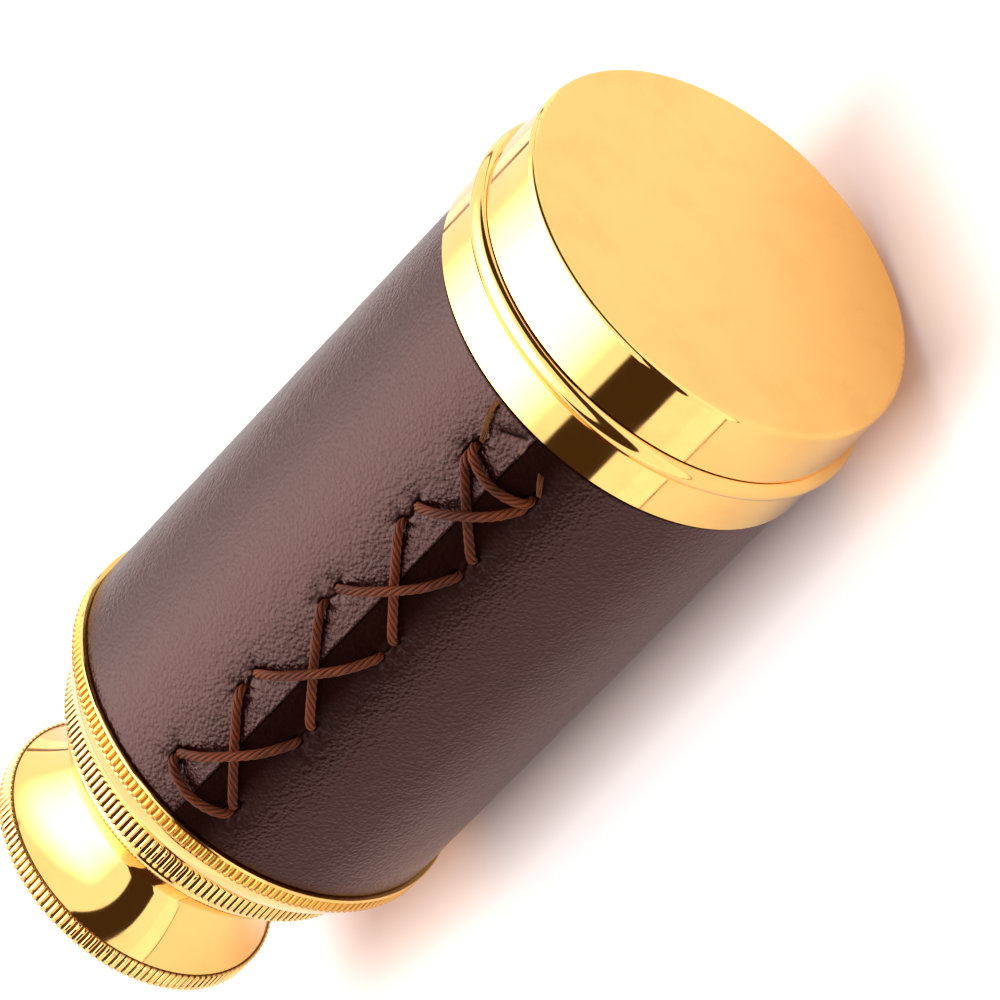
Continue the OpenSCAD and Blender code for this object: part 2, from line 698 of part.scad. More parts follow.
module eyepiece_bell() color(brass) optical() {
    neck_r = draw_3_r + bell_neck_wall;
    flare_r = bell_r - bell_bevel_depth;
    crest_r = bell_r + knurl_inset;
    mouth_r = bell_r - eyecup_lip_w;
    rim_front = bell_rear - bell_rim_w;
    floor_station = bell_rear - eyecup_depth;
    difference() {
        union() {
            rotate_extrude() {
                translate([0, bell_front]) square([neck_r, bell_neck_l]);
                rising_arc(neck_r, flare_r - neck_r, bell_front + bell_neck_l, rim_front);
            }
            intersection() {
                knurled_disc(bell_r, rim_front, bell_rear);
                turned([[0, rim_front], [flare_r, rim_front], [crest_r, rim_front + bell_bevel_w],
                    [crest_r, bell_rear - bell_edge], [crest_r - bell_edge, bell_rear],
                    [0, bell_rear]]);
            }
        }
        bored(draw_3_r, bell_front - past, draw_3_rear);
        bored(small_bore_r, bell_front, eyepiece_rear);
        bored(eye_hole_d / 2, bell_front, bell_rear);
        turned([[0, floor_station], [draw_3_r - eyecup_inset, floor_station],
            [mouth_r, bell_rear], [mouth_r, bell_rear + past], [0, bell_rear + past]]);
    }
}

objective_cap();
objective_cell();
objective_crown_lens();
objective_flint_lens();
objective_retaining_ring();
barrel_tube();
leather_sleeve();
lacing();
barrel_end_ring();
barrel_guide_bush();
draw_1_tube();
draw_1_stop_ring();
draw_1_collar();
draw_1_guide_bush();
draw_2_tube();
draw_2_stop_ring();
draw_2_collar();
draw_2_guide_bush();
draw_3_tube();
draw_3_stop_ring();
erector_tube();
erector_retaining_ring();
erector_front_lens();
erector_front_spacer();
erector_stop();
erector_rear_spacer();
erector_rear_lens();
eyepiece_tube();
eyepiece_retaining_ring();
field_lens();
field_lens_spacer();
field_stop();
eye_lens_spacer();
eye_lens();
eyepiece_bell();
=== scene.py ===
import functools
import math

import bmesh
import bpy
import numpy as np
from mathutils import Matrix, Vector


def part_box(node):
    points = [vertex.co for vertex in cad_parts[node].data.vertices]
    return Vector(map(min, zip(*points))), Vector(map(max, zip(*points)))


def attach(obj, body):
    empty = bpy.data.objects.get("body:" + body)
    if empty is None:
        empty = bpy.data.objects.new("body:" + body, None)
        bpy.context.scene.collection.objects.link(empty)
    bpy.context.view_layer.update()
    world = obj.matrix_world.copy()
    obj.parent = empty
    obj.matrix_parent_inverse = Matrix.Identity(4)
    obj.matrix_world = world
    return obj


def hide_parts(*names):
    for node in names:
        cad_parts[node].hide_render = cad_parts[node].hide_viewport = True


bl_info = {
    "name": "Spyglass",
    "version": (1, 0, 0),
    "blender": (4, 5, 0),
    "location": "View3D > Sidebar > Spyglass",
    "description": "Dresses a shut brass spyglass with polished brass, laced leather and glass",
    "category": "Add Mesh",
}

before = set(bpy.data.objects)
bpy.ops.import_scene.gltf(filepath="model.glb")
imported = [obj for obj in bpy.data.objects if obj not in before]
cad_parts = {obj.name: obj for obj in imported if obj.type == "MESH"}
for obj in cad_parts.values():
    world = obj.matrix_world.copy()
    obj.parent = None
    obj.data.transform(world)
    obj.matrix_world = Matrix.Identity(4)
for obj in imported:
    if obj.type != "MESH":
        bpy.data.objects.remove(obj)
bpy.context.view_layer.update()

MM = 0.001

# Places that everything is measured from: the optical axis, the barrel tube and the leather on it
TUBE_LOW, TUBE_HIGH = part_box("barrel_tube")
LEATHER_LOW, LEATHER_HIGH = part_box("leather_sleeve")
AXIS_Z = (TUBE_LOW.z + TUBE_HIGH.z) / 2
TUBE_R = (TUBE_HIGH.z - TUBE_LOW.z) / 2
LEATHER_R = (LEATHER_HIGH.y - LEATHER_LOW.y) / 2
LEATHER_LENGTH = LEATHER_HIGH.x - LEATHER_LOW.x
CAP_FACE_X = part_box("objective_cap")[1].x

# Route of the lacing. The rows of holes are parts of the leather's length. Each run gives how far
# along it and how high the cord lies: 0 under the leather, 1 laid on it, 2 over another cord. A
# tail's run gives between the two how far it leans over. Under the leather the cord is pressed
# thin.
LACE_ROWS = (0.107, 0.273, 0.488, 0.715, 0.92)
LAST_ROW = len(LACE_ROWS) - 1
DIP_ROUTE = ((-0.42, 0), (0, 0), (0.42, 0))
UNDER_ROUTE = ((0, 0.45), (0.07, 0.98), (0.33, 1), (0.67, 1), (0.93, 0.98), (1, 0.45))
OVER_ROUTE = ((0, 0.45), (0.07, 1.0), (0.3, 1.95), (0.7, 1.95), (0.93, 1.0), (1, 0.45))
BAR_ROUTE = ((-0.02, 0), (0, 0.5), (0.13, 1.05), (0.5, 1.25), (1, 1.32))
TAIL_ROUTE = ((0, 0, 0), (0.06, 0, 0.7), (0.2, 0.15, 1), (0.6, 0.8, 1), (0.85, 1, 0.7),
              (0.97, 1, 0))
LOW_TAIL_ROUTE = ((0, 0, 0), (0.06, 0, 0.7), (0.2, 0.3, 1), (0.4, 0.8, 0.8), (0.5, 1, 0))
# Along the barrel: from an end row out to its bar, how far the bar sags, from the row in to the
# strand's end and to its first hole, from any other row to each of its holes, and from the front
# row out to the slits of the tails
BAR_STEP = 0.4 * MM
BAR_SAG = 1.1 * MM
STRAND_END = 0.1 * MM
FIRST_HOLE = 0.75 * MM
HOLE_OFFSET = 1.45 * MM
TAIL_GAP = 1.5 * MM
# A tail leans over as a whole, and its threads spread in a slow wave and lie a little apart
TAIL_LEAN = math.radians(3.2)
THREAD_SPREAD = math.radians(1.3)
THREAD_WAVE = 3.4
THREAD_DROP = 0.12
CORD_CLEAR = 0.04 * MM


class LeatherSettings(bpy.types.PropertyGroup):
    """Sizes and colours of the leather round the barrel"""

    seam_angle: bpy.props.FloatProperty(
        name="Seam angle", description="Angle of the seam from the top toward the front",
        default=math.radians(41), subtype="ANGLE")
    seam_gap: bpy.props.FloatProperty(
        name="Seam gap", description="Space between the two edges of the leather",
        default=0.01 * MM, unit="LENGTH", precision=5)
    edge_roll: bpy.props.FloatProperty(
        name="Edge roll", description="How far the cut edges at the seam are rounded over",
        default=0.12 * MM, unit="LENGTH", precision=5)
    end_roll: bpy.props.FloatProperty(
        name="End roll", description="Rounding of the leather where it meets the brass",
        default=0.35 * MM, unit="LENGTH", precision=5)
    pucker_depth: bpy.props.FloatProperty(
        name="Pucker depth", description="How far the cord draws the leather down at a hole",
        default=0.3 * MM, unit="LENGTH", precision=5)
    ridge: bpy.props.FloatProperty(
        name="Seam ridge", description="How far the lacing pushes the two edges up at the seam",
        default=0.32 * MM, unit="LENGTH", precision=5)
    crease_depth: bpy.props.FloatProperty(
        name="Crease depth", description="Depth of the crease between two holes of a row",
        default=0.36 * MM, unit="LENGTH", precision=5)
    pucker_reach: bpy.props.FloatProperty(
        name="Pucker reach", description="How far from a hole the leather is drawn down",
        default=1.1 * MM, unit="LENGTH", precision=5)
    slack: bpy.props.FloatProperty(
        name="Slack", description="Height of the slow waves in the leather",
        default=0.045 * MM, unit="LENGTH", precision=5)
    grain_size: bpy.props.FloatProperty(
        name="Grain size", description="Size of the pebbles of the grain",
        default=0.44 * MM, unit="LENGTH", precision=5)
    colour: bpy.props.FloatVectorProperty(
        name="Leather colour", description="Colour of the dyed leather",
        default=(0.020, 0.0036, 0.0026), subtype="COLOR", min=0, max=1)
    worn_colour: bpy.props.FloatVectorProperty(
        name="Worn colour", description="Colour on the tops of the grain",
        default=(0.050, 0.013, 0.008), subtype="COLOR", min=0, max=1)
    sheen: bpy.props.FloatVectorProperty(
        name="Sheen colour", description="Colour of the light that the wax gives back",
        default=(1.0, 0.74, 0.69), subtype="COLOR", min=0, max=1)
    wax: bpy.props.FloatVectorProperty(
        name="Wax colour", description="Colour of the thin wax that all light passes through",
        default=(1.0, 0.77, 0.74), subtype="COLOR", min=0, max=1)
    # A darker tint on the far side, which dims the sheen there as painted shade
    dull_wax: bpy.props.FloatVectorProperty(
        name="Dull wax", description="Tint of the wax film where hands have dulled it",
        default=(0.72, 0.44, 0.36), subtype="COLOR", min=0, max=1)
    raw_colour: bpy.props.FloatVectorProperty(
        name="Raw edge colour", description="Colour of the undyed hide where the edge is cut",
        default=(0.34, 0.24, 0.16), subtype="COLOR", min=0, max=1)


class LacingSettings(bpy.types.PropertyGroup):
    """Sizes and colours of the lacing"""

    cord_diameter: bpy.props.FloatProperty(
        name="Cord diameter", description="Diameter of the lacing cord",
        default=1.1 * MM, unit="LENGTH", precision=5)
    lace_angle: bpy.props.FloatProperty(
        name="Lace angle", description="Angle from the seam to each line of holes",
        default=math.radians(9.9), subtype="ANGLE")
    dip_length: bpy.props.FloatProperty(
        name="Dip length",
        description="Half the length over which the cord dips between two holes",
        default=2.6 * MM, unit="LENGTH", precision=5)
    pressed: bpy.props.FloatProperty(
        name="Pressed width",
        description="Width of the cord under the leather, as part of the cord's", default=0.6,
        subtype="FACTOR", min=0.3, max=1)
    hole_clear: bpy.props.FloatProperty(
        name="Hole clearance", description="Width of a hole beyond the cord's diameter",
        default=0.25 * MM, unit="LENGTH", precision=5)
    plies: bpy.props.IntProperty(
        name="Plies", description="Number of threads twisted together", default=5, min=3, max=7)
    turn_length: bpy.props.FloatProperty(
        name="Turn length", description="Length of cord in which its plies turn once",
        default=5.2 * MM, unit="LENGTH", precision=5)
    tail_width: bpy.props.FloatProperty(
        name="Tail width", description="Width of each frayed thread, as part of the cord's",
        default=0.16, subtype="FACTOR", min=0.1, max=1)
    tail_threads: bpy.props.IntProperty(
        name="Tail threads", description="Number of threads in each frayed end", default=5, min=1,
        max=9)
    tail_colour: bpy.props.FloatVectorProperty(
        name="Tail colour", description="Colour of the bleached threads of the frayed ends",
        default=(0.30, 0.125, 0.025), subtype="COLOR", min=0, max=1)
    colour: bpy.props.FloatVectorProperty(
        name="Cord colour", description="Colour of the waxed cord",
        default=(0.24, 0.052, 0.016), subtype="COLOR", min=0, max=1)
    # Painted shade between the plies, and the darker fibres and patches of the cord
    ply_shade_and_fibre_colour: bpy.props.FloatVectorProperty(
        name="Dark cord colour", description="Colour between the plies",
        default=(0.030, 0.006, 0.003), subtype="COLOR", min=0, max=1)


class BrassSettings(bpy.types.PropertyGroup):
    """Colours and finish of the brass"""

    colour: bpy.props.FloatVectorProperty(
        name="Brass colour", description="Colour of the polished brass",
        default=(1.0, 0.62, 0.20), subtype="COLOR", min=0, max=1)
    tarnish: bpy.props.FloatVectorProperty(
        name="Tarnish colour", description="Colour of the faint tarnish",
        default=(0.72, 0.36, 0.09), subtype="COLOR", min=0, max=1)
    # Part tarnish, part painted shade and painted reflection between the ribs of the end ring
    patina_and_shade: bpy.props.FloatVectorProperty(
        name="Patina", description="Base colour of the tarnished knurling on the end ring",
        default=(0.80, 0.38, 0.065), subtype="COLOR", min=0, max=1)
    # Colour of the painted shade in the grooves of the knurling
    groove_shade_colour: bpy.props.FloatVectorProperty(
        name="Grime colour", description="Colour of the old polish left in the knurling",
        default=(0.030, 0.012, 0.005), subtype="COLOR", min=0, max=1)
    polish: bpy.props.FloatProperty(
        name="Polished roughness", description="Roughness of the mirror-polished sides",
        default=0.05, subtype="FACTOR", min=0, max=1)
    satin: bpy.props.FloatProperty(
        name="Satin roughness", description="Roughness of the satin face of the cap",
        default=0.3, subtype="FACTOR", min=0, max=1)
    blackened: bpy.props.FloatVectorProperty(
        name="Blackened colour", description="Colour of the blackened brass round the lenses",
        default=(0.012, 0.011, 0.010), subtype="COLOR", min=0, max=1)


class KnurlSettings(bpy.types.PropertyGroup):
    """Shape of the straight knurling on the rings and the bell"""

    pitch: bpy.props.FloatProperty(
        name="Pitch", description="Distance from one rib to the next round the edge",
        default=0.84 * MM, unit="LENGTH", precision=5)
    depth: bpy.props.FloatProperty(
        name="Depth", description="Depth of the grooves between the ribs",
        default=0.35 * MM, unit="LENGTH", precision=5)
    crest: bpy.props.FloatProperty(
        name="Crest", description="Width of a rib's crest, as part of the pitch",
        default=0.5, subtype="FACTOR", min=0.1, max=0.8)
    chamfer: bpy.props.FloatProperty(
        name="Rib chamfer", description="Chamfer at both ends of the ribs",
        default=0.12 * MM, unit="LENGTH", precision=5)


class StageSettings(bpy.types.PropertyGroup):
    """Camera, light and floor"""

    aim: bpy.props.FloatVectorProperty(
        name="Aim", description="Point that the camera looks at",
        default=(0.0091, 0.0032, 0.0189), subtype="TRANSLATION", unit="LENGTH", precision=4)
    azimuth: bpy.props.FloatProperty(
        name="Azimuth", description="Turn of the camera from the objective toward the front",
        default=math.radians(42.15), subtype="ANGLE")
    elevation: bpy.props.FloatProperty(
        name="Elevation", description="Height of the camera as an angle",
        default=math.radians(37.48), subtype="ANGLE")
    roll: bpy.props.FloatProperty(
        name="Roll", description="Turn of the camera round its own axis",
        default=math.radians(-79.76), subtype="ANGLE")
    distance: bpy.props.FloatProperty(
        name="Distance", description="Distance from the aim to the camera",
        default=1.1125, unit="LENGTH")
    lens: bpy.props.FloatProperty(
        name="Lens", description="Focal length on a 36 mm sensor",
        default=372.6, unit="CAMERA")
    floor_colour: bpy.props.FloatVectorProperty(
        name="Floor colour", description="Colour of the pale floor",
        default=(0.93, 0.80, 0.78), subtype="COLOR", min=0, max=1)
    floor_glow: bpy.props.FloatProperty(
        name="Floor glow", description="How much whiter the floor looks to the camera",
        default=0.66)
    mirrored_glow: bpy.props.FloatProperty(
        name="Mirrored glow", description="How much whiter the floor looks in metal and glass",
        default=0.31)
    panel_direction: bpy.props.FloatVectorProperty(
        name="Panel direction", description="Direction of the long light panel over the object",
        default=(0, 0.39, 0.92), subtype="DIRECTION")
    panel_strength: bpy.props.FloatProperty(
        name="Panel strength", description="Brightness of the light panel where metal and glass "
        "mirror it", default=4.3)
    wall_strength: bpy.props.FloatProperty(
        name="Wall strength", description="Brightness of the walls where metal mirrors them",
        default=1.3)
    key_direction: bpy.props.FloatVectorProperty(
        name="Key direction", description="Direction of the soft light that casts the shadow",
        default=(-0.35, 0.35, 0.87), subtype="DIRECTION")
    key_strength: bpy.props.FloatProperty(
        name="Key strength", description="Brightness of the soft light that casts the shadow",
        default=1.25)
    fill_strength: bpy.props.FloatProperty(
        name="Fill strength", description="Brightness of the light from all round", default=0.78)
    opening_colour: bpy.props.FloatVectorProperty(
        name="Opening colour", description="Colour of the dark room behind the viewer",
        default=(0.06, 0.034, 0.016), subtype="COLOR", min=0, max=1)


def leather():
    return bpy.context.scene.spyglass_leather


def lacing():
    return bpy.context.scene.spyglass_lacing


def brass():
    return bpy.context.scene.spyglass_brass


def knurl():
    return bpy.context.scene.spyglass_knurl


def stage():
    return bpy.context.scene.spyglass_stage


def fill(tree, node, sockets):
    """Gives a node's input sockets their values, or links them to other nodes' outputs."""
    for key, value in sockets.items():
        if isinstance(value, bpy.types.NodeSocket):
            tree.links.new(value, node.inputs[key])
        else:
            node.inputs[key].default_value = value


def put(tree, kind, *, sockets=None, **settings):
    """Adds a node with its own settings, and fills its input sockets."""
    node = tree.nodes.new(kind)
    for key, value in settings.items():
        setattr(node, key, value)
    fill(tree, node, sockets or {})
    return node


def maths(tree, operation, a, b=0.0):
    return put(tree, "ShaderNodeMath", operation=operation, sockets={0: a, 1: b}).outputs[0]


def plus(tree, a, b):
    return maths(tree, "ADD", a, b)


def minus(tree, a, b):
    return maths(tree, "SUBTRACT", a, b)


def times(tree, a, b):
    return maths(tree, "MULTIPLY", a, b)


def larger(tree, a, b):
    return maths(tree, "MAXIMUM", a, b)


def stretch(tree, value, low, high, to_low=0.0, to_high=1.0, smooth=False):
    """Maps a value from one range to another, and keeps it inside."""
    node = put(tree, "ShaderNodeMapRange",
               interpolation_type="SMOOTHSTEP" if smooth else "LINEAR",
               sockets={0: value, 1: low, 2: high, 3: to_low, 4: to_high})
    return node.outputs[0]


def blend_colours(tree, amount, a, b):
    node = put(tree, "ShaderNodeMix", data_type="RGBA", sockets={0: amount, 6: a, 7: b})
    return node.outputs[2]


def opaque(colour):
    return (*colour, 1.0)


def dot(tree, vector, fixed):
    return put(tree, "ShaderNodeVectorMath", operation="DOT_PRODUCT",
               sockets={0: vector, 1: fixed}).outputs["Value"]


def scaled(tree, vector, scale):
    return put(tree, "ShaderNodeVectorMath", operation="SCALE",
               sockets={0: vector, "Scale": scale}).outputs[0]


def separate(tree, vector):
    return put(tree, "ShaderNodeSeparateXYZ", sockets={0: vector}).outputs


def combine(tree, x=0.0, y=0.0, z=0.0):
    return put(tree, "ShaderNodeCombineXYZ", sockets={0: x, 1: y, 2: z}).outputs[0]


def object_place(tree):
    return put(tree, "ShaderNodeTexCoord").outputs["Object"]


def noise(tree, place, scale, detail=2.0, roughness=0.5):
    """The outputs of a noise texture: first its value, then its colour."""
    sockets = {"Vector": place, "Scale": scale, "Detail": detail, "Roughness": roughness}
    return put(tree, "ShaderNodeTexNoise", sockets=sockets).outputs


def stored(tree, name, output="Fac"):
    """What a piece's mesh holds under a name."""
    return put(tree, "ShaderNodeAttribute", attribute_name=name).outputs[output]


def bump(tree, shader, strength, distance, height):
    node = put(tree, "ShaderNodeBump",
               sockets={"Strength": strength, "Distance": distance, "Height": height})
    fill(tree, shader, {"Normal": node.outputs[0]})


def new_tree(name, tree_kind, inputs, outputs):
    """A node tree with named sockets, its inputs and its output node. A socket is given as name:
    default, and one without a default as name: kind."""
    tree = bpy.data.node_groups.new(name, tree_kind)
    kinds = {int: "Int", float: "Float", tuple: "Color"}
    for side, sockets in (("INPUT", inputs), ("OUTPUT", outputs)):
        for key, value in sockets.items():
            kind = kinds.get(type(value), value)
            socket = tree.interface.new_socket(name=key, in_out=side,
                                               socket_type="NodeSocket" + kind)
            if kind != value:
                socket.default_value = value
    return tree, put(tree, "NodeGroupInput").outputs, put(tree, "NodeGroupOutput")


@functools.cache
def handled_metal_group():
    """Faint tarnish clouds and hairline scratches from handling, built once."""
    group, take, give = new_tree(
        "handled_metal", "ShaderNodeTree",
        {"Roughness": 0.05, "Smear": 0.05, "Scratch": 0.5, "Colour": (1, 0.6, 0.2, 1),
         "Tarnish": (0.7, 0.35, 0.1, 1)},
        {"Colour": (1, 1, 1, 1), "Roughness": 0.1, "Height": 0.0})
    place = object_place(group)
    cloud = stretch(group, noise(group, place, 130.0, 5.0, 0.6)[0], 0.42, 0.72, smooth=True)
    streak_place = put(group, "ShaderNodeMapping",
                       sockets={"Vector": place, "Scale": (0.25, 1.0, 1.0),
                                "Rotation": (0.4, 0.2, 0.9)}).outputs[0]
    scratch = stretch(group, noise(group, streak_place, 2600.0)[0], 0.55, 0.75)
    fill(group, give, {
        "Colour": blend_colours(group, times(group, cloud, 0.22), take["Colour"],
                                take["Tarnish"]),
        "Roughness": plus(group, take["Roughness"], times(group, cloud, take["Smear"])),
        "Height": times(group, scratch, take["Scratch"])})
    return group


def handled_metal(tree, **sockets):
    return put(tree, "ShaderNodeGroup", node_tree=handled_metal_group(), sockets=sockets).outputs


def new_material(name):
    material = bpy.data.materials.new(name)
    material.use_nodes = True
    tree = material.node_tree
    return material, tree, tree.nodes["Principled BSDF"]


def brass_material(name, roughness=None, smear=0.05, scratch=0.2, satin_front=False, amber=0.0,
                   groove_shade_amount=0.92, shade_climb=0.0):
    """Brass with tarnish clouds, polished where no roughness is given. `amber` is how much
    the knurling's ribs take an amber tint, part tarnish and part painted shade,
    `groove_shade_amount` how much painted shade darkens it between them, and `shade_climb` how far
    that shade comes up their flanks."""
    material, tree, shader = new_material(name)
    settings = brass()
    if roughness is None:
        roughness = settings.polish
    worn = handled_metal(tree, Roughness=roughness, Smear=smear, Scratch=scratch,
                         Colour=opaque(settings.colour), Tarnish=opaque(settings.tarnish))
    # Painted shade darkens the grooves of the knurling, and tarnish tints their flanks
    groove = stored(tree, "groove")
    flank = plus(tree, stretch(tree, groove, 0.0, 0.1, 0.0, amber),
                 stretch(tree, groove, 0.1, 0.5, 0.0, 0.75 * (1 - amber), smooth=True))
    # On the end ring the amber tint over ribs and flanks is part tarnish, part painted shade
    warm = blend_colours(tree, flank, worn["Colour"],
                         opaque(settings.patina_and_shade if amber else settings.tarnish))
    # Painted shade, deepest at the bottoms of the grooves
    groove_shade = stretch(tree, groove, 0.45 - shade_climb, 0.95 - shade_climb, 0.0, groove_shade_amount, smooth=True)
    rough = plus(tree, worn["Roughness"], stretch(tree, groove, 0.0, 0.1, 0.0, 0.25 * amber))
    rough = plus(tree, rough, times(tree, groove_shade, 0.4))
    if satin_front:
        along = separate(tree, object_place(tree))[0]
        front = stretch(tree, along, CAP_FACE_X - 0.12 * MM, CAP_FACE_X - 0.01 * MM, smooth=True)
        rough = plus(tree, rough, times(tree, front, settings.satin - roughness))
    fill(tree, shader, {"Base Color": blend_colours(tree, groove_shade, warm, opaque(settings.groove_shade_colour)),
                        "Roughness": rough, "Metallic": 1.0})
    bump(tree, shader, 0.12, 0.01 * MM, worn["Height"])
    return material


def blackened_material():
    material, tree, shader = new_material("blackened_brass")
    worn = handled_metal(tree, Roughness=0.5, Smear=0.15, Scratch=0.4,
                         Colour=opaque(brass().blackened), Tarnish=(0.05, 0.03, 0.015, 1))
    fill(tree, shader, {"Base Color": worn["Colour"], "Roughness": worn["Roughness"],
                        "Metallic": 0.6})
    return material


def glass_material():
    material, tree, shader = new_material("lens_glass")
    dust = noise(tree, object_place(tree), 900.0, 3.0)[0]
    fill(tree, shader, {"Base Color": (0.93, 0.97, 0.98, 1), "Transmission Weight": 1.0,
                        "Roughness": stretch(tree, dust, 0.55, 0.85, 0.0, 0.06), "IOR": 1.52})
    return material


def leather_material():
    material, tree, shader = new_material("waxed_leather")
    settings = leather()
    size = settings.grain_size
    place = object_place(tree)
    # The grain's pebbles, with finer creases on them
    shift = scaled(tree, noise(tree, place, 0.7 / size)["Color"], 0.5 * size)
    bent = put(tree, "ShaderNodeVectorMath", operation="ADD",
               sockets={0: place, 1: shift}).outputs[0]
    pebbles = put(tree, "ShaderNodeTexVoronoi", feature="SMOOTH_F1",
                  sockets={"Vector": bent, "Scale": 1 / size, "Smoothness": 0.6})
    dome = stretch(tree, pebbles.outputs["Distance"], 0.0, 0.75, 1.0, 0.0)
    fine = noise(tree, bent, 3.2 / size, 3.0)[0]
    bump(tree, shader, 0.68, 0.095 * MM, plus(tree, dome, times(tree, fine, 0.5)))
    patches = noise(tree, place, 70.0, 4.0)[0]
    wear = times(tree, dome, stretch(tree, patches, 0.35, 0.75, 0.1, 0.9, smooth=True))
    dyed = blend_colours(tree, wear, opaque(settings.colour), opaque(settings.worn_colour))
    # The seam's cut edges show the undyed hide in places; the crease mask is painted shade, dark
    # and dull
    ragged = stretch(tree, noise(tree, place, 420.0)[0], 0.55, 0.68, 0.0, 0.85)
    edged = blend_colours(tree, times(tree, stored(tree, "raw_edge"), ragged), dyed,
                          opaque(settings.raw_colour))
    crease = stored(tree, "crease")
    painted_shade_colour = (0.008, 0.003, 0.002, 1)
    rough = plus(tree, stretch(tree, patches, 0.3, 0.7, 0.13, 0.19), times(tree, crease, 0.5))
    # The wax film tints the light alike at every angle, a darker tint dims its sheen on the far
    # side as painted shade, and the leather shines more low down
    spot = separate(tree, place)
    dulled = stretch(tree, spot[1], 0.25 * LEATHER_R, 0.7 * LEATHER_R)
    turned_away = put(tree, "ShaderNodeLayerWeight", sockets={"Blend": 0.5}).outputs["Facing"]
    film = larger(tree, minus(tree, 1.0, turned_away), times(tree, dulled, 0.3))
    shine = stretch(tree, spot[2], AXIS_Z - 0.4 * LEATHER_R, AXIS_Z + 0.1 * LEATHER_R, 1.9, 1.0)
    fill(tree, shader, {
        "Base Color": blend_colours(tree, times(tree, crease, 0.9), edged, painted_shade_colour),
        "Roughness": rough,
        "Specular Tint": opaque(settings.sheen),
        "Specular IOR Level": times(tree, stretch(tree, crease, 0.0, 0.7, 0.40, 0.02), shine),
        "Coat Weight": times(tree, stretch(tree, crease, 0.0, 1.0, 1.0, 0.5), film),
        "Coat IOR": 1.0,
        "Coat Tint": blend_colours(tree, dulled, opaque(settings.wax),
                                   opaque(settings.dull_wax))})
    return material


def cord_material():
    material, tree, shader = new_material("waxed_cord")
    settings = lacing()
    # How the cord lies: round its ply, along its length, and its width
    lay = stored(tree, "cord_lay", "Vector")
    fibre_place = put(tree, "ShaderNodeMapping",
                      sockets={"Vector": lay, "Scale": (9.0, 900.0, 1.0)}).outputs[0]
    fibres = noise(tree, fibre_place, 1.0, 3.0)[0]
    patches = noise(tree, object_place(tree), 160.0, 3.0)[0]
    worn = plus(tree, stretch(tree, fibres, 0.35, 0.65, 0.05, 0.5),
                stretch(tree, patches, 0.35, 0.65, 0.05, 0.6))
    # Painted shade darkens each ply toward the cord's centre, where its crown is low
    worn = times(tree, worn, stretch(tree, stored(tree, "crown"), 0.72, 0.97, 0.0, 1.1))
    waxed = blend_colours(tree, worn, opaque(settings.ply_shade_and_fibre_colour), opaque(settings.colour))
    frayed = times(tree, stretch(tree, separate(tree, lay)[2], 0.5, 0.35),
                   stretch(tree, patches, 0.4, 0.6, 0.25, 1.0))
    fill(tree, shader, {
        "Base Color": blend_colours(tree, frayed, waxed, opaque(settings.tail_colour)),
        "Roughness": 0.5, "Specular IOR Level": 0.15})
    bump(tree, shader, 0.6, 0.05 * MM, fibres)
    return material


BRASS_FINISHES = {
    "polished_brass": {},
    "cap_brass": {"satin_front": True},
    # The end ring's amber tint is part tarnish, part painted shade
    "aged_knurling": {"amber": 0.9, "groove_shade_amount": 0.6},
    # Painted shade fills the grooves of this knurling and climbs their flanks
    "grimy_knurling": {"groove_shade_amount": 0.97, "shade_climb": 0.25},
    "turned_brass": {"roughness": 0.22, "smear": 0.1, "scratch": 1.0},
}
OTHER_FINISHES = {"blackened_brass": blackened_material, "lens_glass": glass_material,
                  "waxed_leather": leather_material, "waxed_cord": cord_material}


@functools.cache
def finish(name):
    """A material by its name, made once."""
    if name in BRASS_FINISHES:
        return brass_material(name, **BRASS_FINISHES[name])
    return OTHER_FINISHES[name]()


def dress(names, material):
    for name in names:
        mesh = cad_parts[name].data
        mesh.materials.clear()
        mesh.materials.append(finish(material))


def new_piece(name, mesh, body, replaced):
    piece = bpy.data.objects.new(name, mesh)
    bpy.context.scene.collection.objects.link(piece)
    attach(piece, body)
    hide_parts(*replaced)


def on_barrel(station, angle, radius):
    """A point from its distance behind the leather's front edge, its angle from the top toward
    the viewer's side, and its radius."""
    return Vector((LEATHER_HIGH.x - station, -radius * math.sin(angle),
                   AXIS_Z + radius * math.cos(angle)))


def row_station(row):
    return LACE_ROWS[row] * LEATHER_LENGTH


def tail_station():
    return row_station(0) - TAIL_GAP


def hole_angle(side):
    """Angle of a line of holes: side is 1 for the upper line and -1 for the lower one."""
    return leather().seam_angle - side * lacing().lace_angle


def cord_height(h, width):
    """Radius of a cord's centre line at a height."""
    half = lacing().cord_diameter / 2
    low = TUBE_R + half * (width if h < 0.5 else 1) + CORD_CLEAR
    return float(np.interp(h, (0, 1, 2), (low, LEATHER_R + half + CORD_CLEAR,
                                          LEATHER_R + 3 * half + 3 * CORD_CLEAR)))


def strand_steps(side):
    """A strand from the front row to the rear row, as stations, angles, heights and widths."""
    dip, thin = lacing().dip_length, lacing().pressed
    steps = [(row_station(0) + STRAND_END, hole_angle(side), 0, thin)]
    here = side
    for row in range(LAST_ROW):
        if row:
            steps += [(row_station(row) + t * dip, hole_angle(here), h, thin)
                      for t, h in DIP_ROUTE]
        start = row_station(row) + (HOLE_OFFSET if row else FIRST_HOLE)
        end = row_station(row + 1) - (HOLE_OFFSET if row + 1 < LAST_ROW else FIRST_HOLE)
        steps += [(start + (end - start) * t,
                   hole_angle(here) * (1 - t) + hole_angle(-here) * t, h, 1 if h > 0.5 else 0.88)
                  for t, h in (OVER_ROUTE if here < 0 else UNDER_ROUTE)]
        here = -here
    steps.append((row_station(LAST_ROW) - STRAND_END, hole_angle(here), 0, thin))
    return steps


